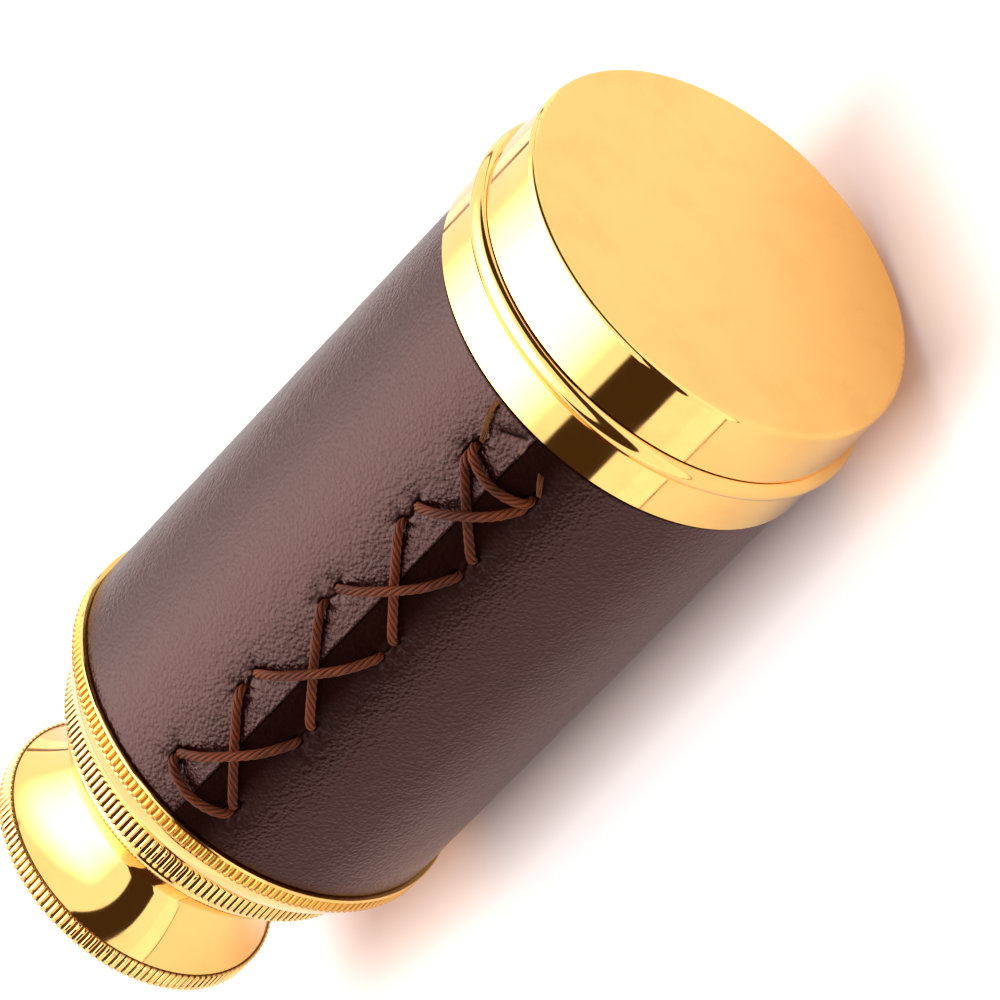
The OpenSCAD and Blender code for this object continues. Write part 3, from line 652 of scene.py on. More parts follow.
def bar_steps(station):
    """The loose bar across the seam at an end of the lacing, sagging along the barrel."""
    spread = lacing().lace_angle
    there, back = [[(station + BAR_SAG * math.sin(math.pi / 2 * max(t, 0)),
                     leather().seam_angle - side * (spread - t * spread), h, 1)
                    for t, h in BAR_ROUTE] for side in (1, -1)]
    return there + back[-2::-1]


def tail_steps(side, thread):
    """One thread of a cord end that leaves the front row, leans over and is tucked in beside
    the cell. `thread` runs from -1 to 1 across the frayed end."""
    steps = []
    for t, lean, h in (TAIL_ROUTE if side > 0 else LOW_TAIL_ROUTE):
        stray = THREAD_SPREAD * thread * math.sin(THREAD_WAVE * t + thread)
        steps.append((tail_station() * (1 - t), hole_angle(side) - lean * TAIL_LEAN + stray,
                      h * (1 - THREAD_DROP * abs(thread)), lacing().tail_width))
    return steps


def smooth_path(steps, parts=8):
    """Points on a smooth line through the steps."""
    p = np.array([(s, a * LEATHER_R, cord_height(h, width), width) for s, a, h, width in steps])
    p = np.vstack([2 * p[0] - p[1], p, 2 * p[-1] - p[-2]])
    points = []
    for a, b, c, d in zip(p, p[1:], p[2:], p[3:]):
        for k in range(parts):
            t = k / parts
            points.append(0.5 * (2 * b + (c - a) * t + (2 * a - 5 * b + 4 * c - d) * t * t
                                 + (3 * b - a - 3 * c + d) * t ** 3))
    points.append(p[-2])
    return [(on_barrel(s, arc / LEATHER_R, r), width) for s, arc, r, width in points]


def captured(tree, geometry, **values):
    """Keeps values on the points of a geometry. Gives the geometry, then the values."""
    node = put(tree, "GeometryNodeCaptureAttribute", domain="POINT")
    for name in values:
        node.capture_items.new("FLOAT", name)
    fill(tree, node, dict(enumerate((geometry, *values.values()))))
    return node.outputs


def store(tree, geometry, name, value, kind="FLOAT"):
    """Keeps a value under a name on the points of a geometry."""
    return put(tree, "GeometryNodeStoreNamedAttribute", data_type=kind, domain="POINT",
               sockets={"Geometry": geometry, "Name": name, "Value": value}).outputs[0]


def smoothed(tree, geometry):
    return put(tree, "GeometryNodeSetShadeSmooth", sockets={"Geometry": geometry}).outputs[0]


def realized(tree, geometry):
    return put(tree, "GeometryNodeRealizeInstances", sockets={0: geometry}).outputs[0]


def end_tree(tree, geometry, material, give):
    """Ends a geometry tree in a plain mesh with its material."""
    done = put(tree, "GeometryNodeSetMaterial",
               sockets={"Geometry": realized(tree, geometry), "Material": material})
    fill(tree, give, {0: done.outputs[0]})


def twisted_cord_tree():
    """Geometry nodes that lay twisted plies along every curve they are given."""
    tree, take, give = new_tree(
        "twisted_cord", "GeometryNodeTree",
        {"Paths": "Geometry", "Cord Diameter": 1.1 * MM, "Turn Length": 3.0 * MM,
         "Step": 0.3 * MM, "Unevenness": 0.03 * MM, "Plies": 3, "Seed": 7, "Cord": "Material"},
        {"Mesh": "Geometry"})
    even = put(tree, "GeometryNodeResampleCurve", mode="LENGTH",
               sockets={"Curve": take["Paths"], "Length": take["Step"]}).outputs[0]
    length = put(tree, "GeometryNodeSplineParameter").outputs["Length"]
    width = put(tree, "GeometryNodeInputRadius").outputs[0]
    tilt = times(tree, maths(tree, "DIVIDE", length, take["Turn Length"]), -2 * math.pi)
    wound = put(tree, "GeometryNodeSetCurveTilt", sockets={"Curve": even, "Tilt": tilt})
    held = captured(tree, wound.outputs[0], Along=length, Width=width)
    # Plies laid round the cord's centre, pressed a little into one another
    cord_r = times(tree, take["Cord Diameter"], 0.5)
    half_step = maths(tree, "SINE", maths(tree, "DIVIDE", math.pi, take["Plies"]))
    share = maths(tree, "DIVIDE", times(tree, half_step, 0.58), plus(tree, half_step, 1.0))
    ply_r = times(tree, take["Cord Diameter"], share)
    ply = put(tree, "GeometryNodeCurvePrimitiveCircle", mode="RADIUS",
              sockets={"Resolution": 12, "Radius": ply_r}).outputs[0]
    centres = put(tree, "GeometryNodeMeshCircle", fill_type="NONE",
                  sockets={"Vertices": take["Plies"],
                           "Radius": minus(tree, cord_r, ply_r)}).outputs[0]
    bundle = put(tree, "GeometryNodeInstanceOnPoints",
                 sockets={"Points": centres, "Instance": ply}).outputs[0]
    outward = put(tree, "ShaderNodeVectorMath", operation="LENGTH",
                  sockets={0: put(tree, "GeometryNodeInputPosition").outputs[0]}).outputs["Value"]
    around = captured(tree, realized(tree, bundle),
                      Around=put(tree, "GeometryNodeSplineParameter").outputs["Factor"],
                      Crown=maths(tree, "DIVIDE", outward, cord_r))
    mesh = put(tree, "GeometryNodeCurveToMesh",
               sockets={"Curve": held[0], "Profile Curve": around[0], "Scale": width,
                        "Fill Caps": True}).outputs[0]
    mesh = store(tree, mesh, "cord_lay", combine(tree, around[1], held[1], held[2]),
                 "FLOAT_VECTOR")
    # The crown, how far a point lies from the cord's centre, guides the cord's painted shade
    mesh = store(tree, mesh, "crown", around[2])
    lumps = put(tree, "ShaderNodeTexNoise", noise_dimensions="4D",
                sockets={"Scale": 1400.0, "Detail": 2.0, "W": take["Seed"]}).outputs[0]
    bulge = times(tree, minus(tree, lumps, 0.5), take["Unevenness"])
    shift = scaled(tree, put(tree, "GeometryNodeInputNormal").outputs[0], bulge)
    mesh = put(tree, "GeometryNodeSetPosition",
               sockets={"Geometry": mesh, "Offset": shift}).outputs[0]
    end_tree(tree, smoothed(tree, mesh), take["Cord"], give)
    return tree


def grown(name, data, tree, **inputs):
    """The plain mesh that a geometry node tree makes of some data."""
    source = bpy.data.objects.new(name + "_source", data)
    bpy.context.scene.collection.objects.link(source)
    modifier = source.modifiers.new("Grow", "NODES")
    modifier.node_group = tree
    for item in tree.interface.items_tree:
        key = item.name.lower().replace(" ", "_")
        if item.item_type == "SOCKET" and item.in_out == "INPUT" and key in inputs:
            modifier[item.identifier] = inputs[key]
    depsgraph = bpy.context.evaluated_depsgraph_get()
    depsgraph.update()
    mesh = bpy.data.meshes.new_from_object(source.evaluated_get(depsgraph))
    mesh.name = name
    bpy.data.objects.remove(source)
    if not mesh.polygons:
        raise RuntimeError(f"{name} came out empty")
    return mesh


def cord_paths():
    """One curve object's data with the centre lines of every length of cord."""
    rows = (row_station(0) - BAR_STEP, row_station(LAST_ROW) + BAR_STEP)
    routes = [strand_steps(side) for side in (-1, 1)]
    routes += [bar_steps(row) for row in rows]
    threads = lacing().tail_threads
    routes += [tail_steps(side, 2 * (k + 0.5) / threads - 1) for side in (-1, 1)
               for k in range(threads)]
    data = bpy.data.curves.new("cord_paths", "CURVE")
    data.dimensions = "3D"
    for steps in routes:
        points = smooth_path(steps)
        spline = data.splines.new("POLY")
        spline.points.add(len(points) - 1)
        for point, (place, width) in zip(spline.points, points):
            point.co = (*place, 1.0)
            point.radius = width
    return data


def holes():
    """Every hole in the leather, as its two end stations, its angle and its radius."""
    half = (lacing().cord_diameter + lacing().hole_clear) / 2
    front, rear = row_station(0), row_station(LAST_ROW)
    found = []
    for side in (-1, 1):
        angle = hole_angle(side)
        for row in range(1, LAST_ROW):
            found += [(row_station(row) + end, row_station(row) + end, angle, 0.85 * half)
                      for end in (-HOLE_OFFSET, HOLE_OFFSET)]
        found += [(front - BAR_STEP, front + FIRST_HOLE, angle, 0.9 * half),
                  (rear - FIRST_HOLE, rear + BAR_STEP, angle, 0.9 * half),
                  (tail_station(), tail_station() + 0.2 * MM, angle, 0.6 * half)]
    return found


def creases():
    """Every crease in the leather, as its two ends, each a station and an angle: those that the
    buried cord leaves between two holes, and one where the front end is bunched up."""
    found = [((row_station(row) - HOLE_OFFSET, hole_angle(side)),
              (row_station(row) + HOLE_OFFSET, hole_angle(side)))
             for side in (-1, 1) for row in range(1, LAST_ROW)]
    seam, spread = leather().seam_angle, lacing().lace_angle
    found.append(((2.9 * MM, seam - 0.75 * spread), (1.2 * MM, seam - 0.15 * spread)))
    return found


def ease(value, low, high):
    t = np.clip((value - low) / (high - low), 0, 1)
    return t * t * (3 - 2 * t)


def slow_waves(s, arc):
    """Slow irregular waves, from a few sines, each with its length along the barrel and round it
    in millimetres and its phase."""
    waves = ((9.0, 6.0, 0.4), (5.5, 11.0, 1.9), (14.0, 4.2, 3.1), (3.1, 3.7, 5.2))
    turn = 2 * np.pi
    return sum(np.sin(turn * (s / (a * MM)) + p) * np.cos(turn * (arc / (b * MM)) + 2 * p)
               for a, b, p in waves) / len(waves)


def beside(s, offset, start, end):
    """How far points are past the sides of a line on the leather from one place to another, each
    a station and an angle."""
    seam = leather().seam_angle
    # The sheet runs from the seam, on the lower side, all the way round
    arc = ((offset - (start[1] - seam) + np.pi) % (2 * np.pi) - np.pi) * LEATHER_R
    along, across = end[0] - start[0], (end[1] - start[1]) * LEATHER_R
    t = ((s - start[0]) * along + arc * across) / max(along ** 2 + across ** 2, 1e-12)
    t = np.clip(t, 0, 1)
    return s - start[0] - along * t, arc - across * t


def rounded(depth, distance, width):
    """How far an edge rounded over a width is sunk at a distance from it."""
    share = np.clip(1 - distance / width, 0, 1)
    return depth * (1 - np.sqrt(np.clip(1 - share ** 2, 0, 1)))


def leather_surface(s, offset):
    """Outer radius of the leather at stations and angles past the seam, with how much painted
    shade each point gets."""
    settings = leather()
    arc = offset * LEATHER_R
    upper = offset > np.pi
    from_seam = np.minimum(np.abs(arc), 2 * np.pi * LEATHER_R - np.abs(arc))
    radius = LEATHER_R + settings.slack * slow_waves(s, arc)
    # The lacing pushes the edges up into a ridge, the upper one over the lower one, except where
    # a cross presses them down. It dies away past the last row.
    crossings = [(row_station(row) + row_station(row + 1)) / 2 for row in range(LAST_ROW)]
    pressed = sum(np.exp(-((s - c) / (1.1 * MM)) ** 2) for c in crossings)
    lifted = 1 - ease(s, row_station(LAST_ROW) - 1 * MM, row_station(LAST_ROW) + 3 * MM)
    ridge = np.where(upper, settings.ridge * np.exp(-from_seam / (1.7 * MM)),
                     0.4 * settings.ridge * np.exp(-from_seam / (2.6 * MM)))
    radius += ridge * (0.3 + 0.7 * lifted) * (1 - 0.75 * np.clip(pressed, 0, 1))
    radius -= rounded(0.8 * settings.edge_roll, from_seam - settings.seam_gap / 2,
                      settings.edge_roll)
    to_end = np.minimum(s, LEATHER_LENGTH - s)
    radius -= rounded(settings.end_roll, to_end, settings.end_roll)
    # Painted shade darkens the seam, widely on its lower side, and the leather where it meets the
    # brass
    dark = 1 - ease(from_seam, 0.06 * MM, np.where(upper, 0.12, 0.5) * MM)
    dark = np.maximum(dark, np.where(upper, 0, 0.75 * (1 - ease(from_seam, 2 * MM, 9 * MM))))
    dark = np.maximum(dark, 1 - ease(s, 0.25 * MM, 0.6 * MM))
    dark = np.maximum(dark, 0.6 * (1 - ease(LEATHER_LENGTH - s, 0.05 * MM, 0.4 * MM)))
    drawn, pocket = np.zeros_like(s), np.zeros_like(s)
    for start, end, angle, half in holes():
        past, aside = beside(s, offset, (start, angle), (end, angle))
        gap = np.maximum(np.hypot(past, aside) - half, -half)
        wrinkle = 1 + 0.4 * np.sin(5 * np.arctan2(aside, past + 1e-6) + start * 3000)
        pull = settings.pucker_depth * wrinkle * half / (0.68 * MM)
        reached = np.exp(-(np.maximum(gap, 0) / settings.pucker_reach) ** 1.3)
        drawn = np.maximum(drawn, pull * reached)
        pocket = np.maximum(pocket, 1 - ease(gap, -0.2 * MM, 0.12 * MM))
        # Painted shade fills each hole and the leather round its mouth
        dark = np.maximum(dark, 1 - ease(gap, -0.1 * MM, 0.3 * MM))
    for start, end in creases():
        past, aside = beside(s, offset, start, end)
        wander = 0.16 * MM * np.sin((s + 0.7 * arc) / (0.45 * MM) + 9 * start[1])
        gap = np.hypot(past, aside - wander)
        line = 1 - ease(gap, 0.08 * MM, 0.3 * MM)
        hollow = 0.5 * settings.crease_depth * np.exp(-(gap / (0.8 * MM)) ** 2)
        drawn = np.maximum(drawn, np.maximum(hollow, settings.crease_depth * line))
        # Painted shade lines each crease
        dark = np.maximum(dark, line)
    # A hole's pocket goes down to just above the tube
    radius -= drawn
    return radius * (1 - pocket) + (TUBE_R + 0.02 * MM) * pocket, dark


def spaced(stops):
    """Positions from (end, spacing) pairs, each run spaced evenly."""
    places = [stops[0][0]]
    for (start, _), (end, step) in zip(stops, stops[1:]):
        count = max(1, round((end - start) / step))
        places += [start + (end - start) * (i + 1) / count for i in range(count)]
    return np.array(places)


def write_shell(shell, mesh, sharp):
    """Writes a closed shell to a mesh, its faces turned outward and smooth up to an angle in
    degrees."""
    bmesh.ops.recalc_face_normals(shell, faces=shell.faces)
    shell.to_mesh(mesh)
    shell.free()
    mesh.shade_smooth()
    mesh.set_sharp_from_angle(angle=math.radians(sharp))


def leather_mesh():
    """The sleeve: a sheet wrapped round the tube, butted at the seam, with rolled edges and
    holes that the cord draws down."""
    settings = leather()
    # Small faces round the lacing and the rows of holes, and larger ones elsewhere
    start, near = settings.seam_gap / 2 / LEATHER_R, math.radians(17)
    fine, coarse = 0.16 * MM / LEATHER_R, math.radians(3)
    columns = spaced([(start, 0), (near, fine), (2 * math.pi - near, coarse),
                      (2 * math.pi - start, fine)])
    fine, coarse, round_row = 0.22 * MM, 0.6 * MM, 3.6 * MM
    stops = [(0.0, 0), (row_station(0) + round_row, fine)]
    for row in range(1, LAST_ROW + 1):
        stops += [(row_station(row) - round_row, coarse), (row_station(row) + round_row, fine)]
    rows = spaced([*stops, (LEATHER_LENGTH, fine)])
    s, offset = np.meshgrid(rows, columns, indexing="ij")
    outer, dark = leather_surface(s, offset)
    inner = np.full_like(outer, TUBE_R + 0.005 * MM)
    angle = settings.seam_angle + offset
    points = np.concatenate([
        np.stack([LEATHER_HIGH.x - s, -r * np.sin(angle), AXIS_Z + r * np.cos(angle)], -1)
        .reshape(-1, 3) for r in (outer, inner)])
    top = np.arange(s.size).reshape(s.shape)
    under = top + s.size

    def wall(a, b, c, d):
        return np.stack([a, b, c, d], -1).reshape(-1, 4)

    faces = np.concatenate([
        wall(top[:-1, :-1], top[:-1, 1:], top[1:, 1:], top[1:, :-1]),
        wall(under[:-1, :-1], under[1:, :-1], under[1:, 1:], under[:-1, 1:]),
        wall(top[0, 1:], top[0, :-1], under[0, :-1], under[0, 1:]),
        wall(top[-1, :-1], top[-1, 1:], under[-1, 1:], under[-1, :-1]),
        wall(top[:-1, 0], top[1:, 0], under[1:, 0], under[:-1, 0]),
        wall(top[1:, -1], top[:-1, -1], under[:-1, -1], under[1:, -1])])
    mesh = bpy.data.meshes.new("leather")
    mesh.from_pydata(points.tolist(), [], faces.tolist())
    # The undyed hide shows only near the front end, on the upper edge
    edge = np.zeros_like(s)
    edge[:, -2:] = (1 - ease(s, 3 * MM, 5 * MM))[:, -2:]
    dark = dark * (1 - 0.8 * edge)
    # The crease attribute carries the painted shade, full on the inner face
    for name, values in (("crease", (dark, np.ones_like(dark))),
                         ("raw_edge", (edge, edge))):
        mesh.attributes.new(name, "FLOAT", "POINT").data.foreach_set(
            "value", np.concatenate([part.ravel() for part in values]).astype(np.float32))
    shell = bmesh.new()
    shell.from_mesh(mesh)
    write_shell(shell, mesh, 60)
    mesh.materials.append(finish("waxed_leather"))
    return mesh


def lathe(name, profile, segments=180):
    """A closed turned mesh round the optical axis, from (station, radius) points in millimetres,
    stations counted from the cap's face. The profile goes once round the section."""
    shell = bmesh.new()
    rings = []
    for station, radius in profile:
        x = CAP_FACE_X - station * MM
        rings.append([shell.verts.new((x, -radius * MM * math.sin(a), radius * MM * math.cos(a)))
                      for a in (2 * math.pi * k / segments for k in range(segments))])
    for ring, after in zip(rings, rings[1:] + rings[:1]):
        for k in range(segments):
            n = (k + 1) % segments
            shell.faces.new((ring[k], ring[n], after[n], after[k]))
    mesh = bpy.data.meshes.new(name)
    write_shell(shell, mesh, 28)
    return mesh


def swept_arc(start, end, bulge, parts=14):
    """Points on the arc between two profile points, whose middle stands `bulge` to its left."""
    a, b = np.array(start, float), np.array(end, float)
    chord = b - a
    left = np.array([-chord[1], chord[0]]) / np.hypot(*chord)
    return [tuple(a + chord * t + left * 4 * bulge * t * (1 - t))
            for t in (k / parts for k in range(parts + 1))]


def knurling_tree():
    """Geometry nodes that set straight ribs round a turned piece and lift both to the axis."""
    tree, take, give = new_tree(
        "knurling", "GeometryNodeTree",
        {"Core": "Geometry", "Ribs": 180, "Crest Radius": 24.0 * MM, "Groove Depth": 0.35 * MM,
         "Crest Share": 0.5, "Chamfer": 0.1 * MM, "Front": 0.0, "Width": 2.0 * MM,
         "Axis": 25.0 * MM, "Sink": 0.06 * MM, "Metal": "Material"},
        {"Mesh": "Geometry"})
    # One rib: a small patch, 5 faces along by 10 across, bent to its section. The inner rows of
    # points, over 0.6 of the patch, lie between the chamfers, and the outer ones at the ends.
    patch = put(tree, "GeometryNodeMeshGrid", sockets={"Size X": 1.0, "Size Y": 1.0,
                                                       "Vertices X": 6, "Vertices Y": 11})
    place = separate(tree, put(tree, "GeometryNodeInputPosition").outputs[0])
    width, chamfer, crest = take["Width"], take["Chamfer"], take["Crest Share"]
    share = plus(tree, maths(tree, "DIVIDE", place[0], 0.6), 0.5)
    along = plus(tree, chamfer,
                 times(tree, share, minus(tree, width, times(tree, chamfer, 2.0))))
    along = maths(tree, "MINIMUM", larger(tree, along, 0.0), width)
    to_end = maths(tree, "MINIMUM", along, minus(tree, width, along))
    end = maths(tree, "MINIMUM", maths(tree, "DIVIDE", to_end, chamfer), 1.0)
    across = times(tree, maths(tree, "ABSOLUTE", place[1]), 2.0)
    rise = stretch(tree, across, crest, plus(tree, crest, 0.28), 1.0, 0.0, smooth=True)
    rise = times(tree, rise, end)
    fall = times(tree, take["Groove Depth"], minus(tree, 1.0, rise))
    sunk = times(tree, take["Sink"], minus(tree, 1.0, end))
    radius = minus(tree, take["Crest Radius"], plus(tree, fall, sunk))
    step = maths(tree, "DIVIDE", 2 * math.pi, take["Ribs"])
    angle = times(tree, place[1], step)
    bent = combine(tree, minus(tree, take["Front"], along),
                   times(tree, radius, maths(tree, "SINE", angle)),
                   times(tree, radius, maths(tree, "COSINE", angle)))
    # How deep each point lies in a groove, which the brass material darkens as painted shade
    held = store(tree, patch.outputs[0], "groove", minus(tree, 1.0, times(tree, rise, 0.9)))
    rib = put(tree, "GeometryNodeSetPosition", sockets={"Geometry": held, "Position": bent})
    spots = put(tree, "GeometryNodePoints", sockets={"Count": take["Ribs"]})
    turn = combine(tree, times(tree, put(tree, "GeometryNodeInputIndex").outputs[0], step))
    ribs = put(tree, "GeometryNodeInstanceOnPoints", sockets={
        "Points": spots.outputs[0], "Instance": rib.outputs[0], "Rotation": turn})
    band = put(tree, "GeometryNodeMergeByDistance", sockets={
        "Geometry": realized(tree, ribs.outputs[0]), "Distance": 0.002 * MM})
    whole = put(tree, "GeometryNodeJoinGeometry")
    for part in (take["Core"], smoothed(tree, band.outputs[0])):
        fill(tree, whole, {0: part})
    raised = put(tree, "GeometryNodeSetPosition",
                 sockets={"Geometry": whole.outputs[0], "Offset": combine(tree, z=take["Axis"])})
    end_tree(tree, raised.outputs[0], take["Metal"], give)
    return tree


def knurled(name, node, body, profile, front, width, crest_radius, metal="polished_brass"):
    """A turned and knurled piece in place of a node. Its band of ribs starts at station `front`,
    and all its sizes are in millimetres."""
    settings = knurl()
    mesh = grown(name, lathe(name + "_core", profile), knurling_tree(),
                 ribs=round(2 * math.pi * crest_radius * MM / settings.pitch),
                 crest_radius=crest_radius * MM, groove_depth=settings.depth,
                 crest_share=settings.crest, chamfer=settings.chamfer,
                 front=CAP_FACE_X - front * MM, width=width * MM, axis=AXIS_Z,
                 metal=finish(metal))
    new_piece(name, mesh, body, [node])


# Play round a draw tube in the mouth that it slides through, in millimetres
BORE_CLEAR = 0.3


def reach(node):
    """Where a node starts and ends behind the cap's face, and its radius, in millimetres."""
    low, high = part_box(node)
    return ((CAP_FACE_X - high.x) / MM, (CAP_FACE_X - low.x) / MM, (high.y - low.y) / 2 / MM)


class SPYGLASS_OT_dress_brass(bpy.types.Operator):
    """Gives the plain brass pieces their polished, satin and turned finishes"""

    bl_idname = "spyglass.dress_brass"
    bl_label = "Dress brass"

    def execute(self, context):
        dress(["objective_cap"], "cap_brass")
        dress(["objective_cell", "draw_2_collar", "draw_1_tube", "draw_2_tube", "draw_3_tube"],
              "polished_brass")
        dress(["barrel_tube", "objective_retaining_ring", "barrel_guide_bush",
               "draw_1_stop_ring", "draw_1_guide_bush", "draw_2_stop_ring", "draw_2_guide_bush",
               "draw_3_stop_ring", "erector_retaining_ring", "eyepiece_retaining_ring"],
              "turned_brass")
        return {"FINISHED"}


class SPYGLASS_OT_turn_end_ring(bpy.types.Operator):
    """Turns and knurls the ring at the barrel's rear end"""

    bl_idname = "spyglass.turn_end_ring"
    bl_label = "Turn barrel end ring"

    def execute(self, context):
        front, rear, rim = reach("barrel_end_ring")
        tube, bore = reach("barrel_tube"), reach("draw_1_tube")[2] + BORE_CLEAR
        knurl_front, knurl_rear, nose = front + 0.4, front + 2.3, bore + 1.6
        # The plain core under the ribs lies just below the bottoms of their grooves
        groove, shoulder = rim - 0.46, rim - 0.7
        profile = [(front, tube[2]), (front, rim - 0.1), (front + 0.1, rim),
                   (knurl_front - 0.06, rim), (knurl_front, rim - 0.06), (knurl_front, groove),
                   (knurl_rear, groove), (knurl_rear, shoulder - 0.1),
                   (knurl_rear + 0.3, shoulder)]
        profile += swept_arc((knurl_rear + 0.4, shoulder), (rear - 0.3, nose), 0.32)
        profile += [(rear, nose - 0.3), (rear, bore), (tube[1], bore), (tube[1], tube[2])]
        knurled("end_ring_turned", "barrel_end_ring", "barrel", profile, knurl_front,
                knurl_rear - knurl_front, rim - 0.05, metal="aged_knurling")
        return {"FINISHED"}


class SPYGLASS_OT_turn_first_collar(bpy.types.Operator):
    """Turns and knurls the collar of the first draw"""

    bl_idname = "spyglass.turn_first_collar"
    bl_label = "Turn first collar"

    def execute(self, context):
        front, rear, crest = reach("draw_1_collar")
        tube, bore = reach("draw_1_tube"), reach("draw_2_tube")[2] + BORE_CLEAR
        groove = crest - 0.41
        profile = [(front, tube[2]), (front, groove - 0.25), (front + 0.25, groove),
                   (rear - 0.25, groove), (rear, groove - 0.25), (rear, bore), (tube[1], bore),
                   (tube[1], tube[2])]
        knurled("first_collar_turned", "draw_1_collar", "draw_1", profile, front + 0.15,
                rear - front - 0.3, crest, metal="grimy_knurling")
        return {"FINISHED"}


class SPYGLASS_OT_turn_bell(bpy.types.Operator):
    """Turns and knurls the eyepiece bell"""

    bl_idname = "spyglass.turn_bell"
    bl_label = "Turn eyepiece bell"

    def execute(self, context):
        front, rear, crest = reach("eyepiece_bell")
        tube = reach("draw_3_tube")
        neck, flare, rim_front, groove = tube[2] + 0.65, crest - 0.5, rear - 2.7, crest - 0.46
        # The dished face goes in to a hole, and the tube sits on the step behind it
        dish, step, hole, seat = rear - 4.6, rear - 5.2, 5, tube[2] - 0.6
        profile = [(front, tube[2]), (front, neck - 0.1), (front + 0.1, neck)]
        profile += swept_arc((front + 0.6, neck), (rim_front, flare), -0.62, parts=24)
        profile += [(rim_front, groove), (rear - 0.25, groove), (rear, crest - 0.6),
                    (rear, crest - 0.9), (rear - 0.15, crest - 1.05)]
        profile += swept_arc((rear - 0.2, crest - 1.1), (dish, tube[2] - 3.8), 0.5)
        profile += [(dish, hole + 0.15), (rear - 4.7, hole), (step, hole), (step, seat),
                    (tube[1], seat), (tube[1], tube[2])]
        knurled("eyepiece_bell_turned", "eyepiece_bell", "draw_3", profile, rim_front,
                rear - rim_front - 0.1, crest)
        return {"FINISHED"}


class SPYGLASS_OT_dress_optics(bpy.types.Operator):
    """Gives the lenses their glass and the tubes round them their blackened finish"""

    bl_idname = "spyglass.dress_optics"
    bl_label = "Dress optics"

    def execute(self, context):
        dress(["objective_crown_lens", "objective_flint_lens", "erector_front_lens",
               "erector_rear_lens", "field_lens", "eye_lens"], "lens_glass")
        dress(["erector_tube", "erector_front_spacer", "erector_stop", "erector_rear_spacer",
               "eyepiece_tube", "field_lens_spacer", "field_stop", "eye_lens_spacer"],
              "blackened_brass")
        return {"FINISHED"}


class SPYGLASS_OT_wrap_leather(bpy.types.Operator):
    """Wraps the barrel in its leather"""

    bl_idname = "spyglass.wrap_leather"
    bl_label = "Wrap leather"

    def execute(self, context):
        new_piece("leather", leather_mesh(), "barrel", ["leather_sleeve"])
        return {"FINISHED"}


class SPYGLASS_OT_lace_leather(bpy.types.Operator):
    """Laces the leather with twisted cord"""

    bl_idname = "spyglass.lace_leather"
    bl_label = "Lace leather"

    def execute(self, context):
        settings = lacing()
        mesh = grown("lacing_cord", cord_paths(), twisted_cord_tree(),
                     cord_diameter=settings.cord_diameter, turn_length=settings.turn_length,
                     plies=settings.plies, cord=finish("waxed_cord"))
        new_piece("lacing_cord", mesh, "barrel", ["lacing"])
        return {"FINISHED"}


def away(tree, value, middle):
    """How far a value is from a middle one."""
    return maths(tree, "ABSOLUTE", minus(tree, value, middle))


def outside(tree, value, middle, half):
    """How far a value is beyond a span, given by its middle and half its length."""
    return larger(tree, minus(tree, away(tree, value, middle), half), 0.0)


def floor_material():
    """A pale floor that holds the object's shadow and shows white to the camera, to metal and
    to glass."""
    material, tree, shader = new_material("pale_floor")
    settings = stage()
    place = object_place(tree)
    mottle = stretch(tree, noise(tree, place, 3.0)[0], 0.3, 0.7, 0.0, 0.03)
    fill(tree, shader, {
        "Base Color": blend_colours(tree, mottle, opaque(settings.floor_colour),
                                    (0.95, 0.93, 0.92, 1)),
        "Roughness": 0.9, "Specular IOR Level": 0.0})
    # Close round the object the glow drops, a painted shadow; further off the floor is white as
    # the walls
    axes = separate(tree, place)
    ahead = times(tree, outside(tree, axes[0], 0.005, 0.053), 0.7)
    aside = outside(tree, axes[1], 0.005, 0.015)
    gap = maths(tree, "SQRT", plus(tree, maths(tree, "POWER", ahead, 2.0),
                                   maths(tree, "POWER", aside, 2.0)))
    near = stretch(tree, gap, 0.0, 0.011, 0.10, settings.floor_glow)
    mirrored = stretch(tree, gap, 0.0, 0.014, 0.10, settings.mirrored_glow)
    # Painted shadow colour: the glow turns pink close round the object
    warm = blend_colours(tree, stretch(tree, gap, 0.0, 0.016), (1, 0.76, 0.70, 1), (1, 1, 1, 1))
    far = stretch(tree, gap, 0.13, 0.14, 0.0, 0.3)
    path = put(tree, "ShaderNodeLightPath").outputs
    level = put(tree, "ShaderNodeMix", data_type="FLOAT",
                sockets={0: path["Is Camera Ray"], 2: mirrored, 3: near}).outputs[0]
    glow = times(tree, plus(tree, level, far), seen_directly(tree))
    light = put(tree, "ShaderNodeEmission", sockets={"Color": warm, "Strength": glow})
    both = put(tree, "ShaderNodeAddShader", sockets={0: shader.outputs[0], 1: light.outputs[0]})
    # The edges of the paper, dark lines seen only in the polished brass
    front_edge = stretch(tree, away(tree, axes[1], -0.145), 0.003, 0.006, 1.0, 0.0)
    back_edge = stretch(tree, away(tree, axes[1], 0.70), 0.22, 0.28, 1.0, 0.0)
    edge = times(tree, larger(tree, front_edge, back_edge), path["Is Glossy Ray"])
    dark = put(tree, "ShaderNodeEmission",
               sockets={"Color": opaque(settings.opening_colour), "Strength": 1.0})
    mixed = put(tree, "ShaderNodeMixShader", sockets={0: times(tree, edge, 0.85),
                                                      1: both.outputs[0], 2: dark.outputs[0]})
    fill(tree, tree.nodes["Material Output"], {"Surface": mixed.outputs[0]})
    return material


def seen_directly(tree):
    """1 for rays from the camera and for those that metal or glass sends on."""
    path = put(tree, "ShaderNodeLightPath").outputs
    either = larger(tree, path["Is Camera Ray"], path["Is Glossy Ray"])
    return larger(tree, either, path["Is Transmission Ray"])


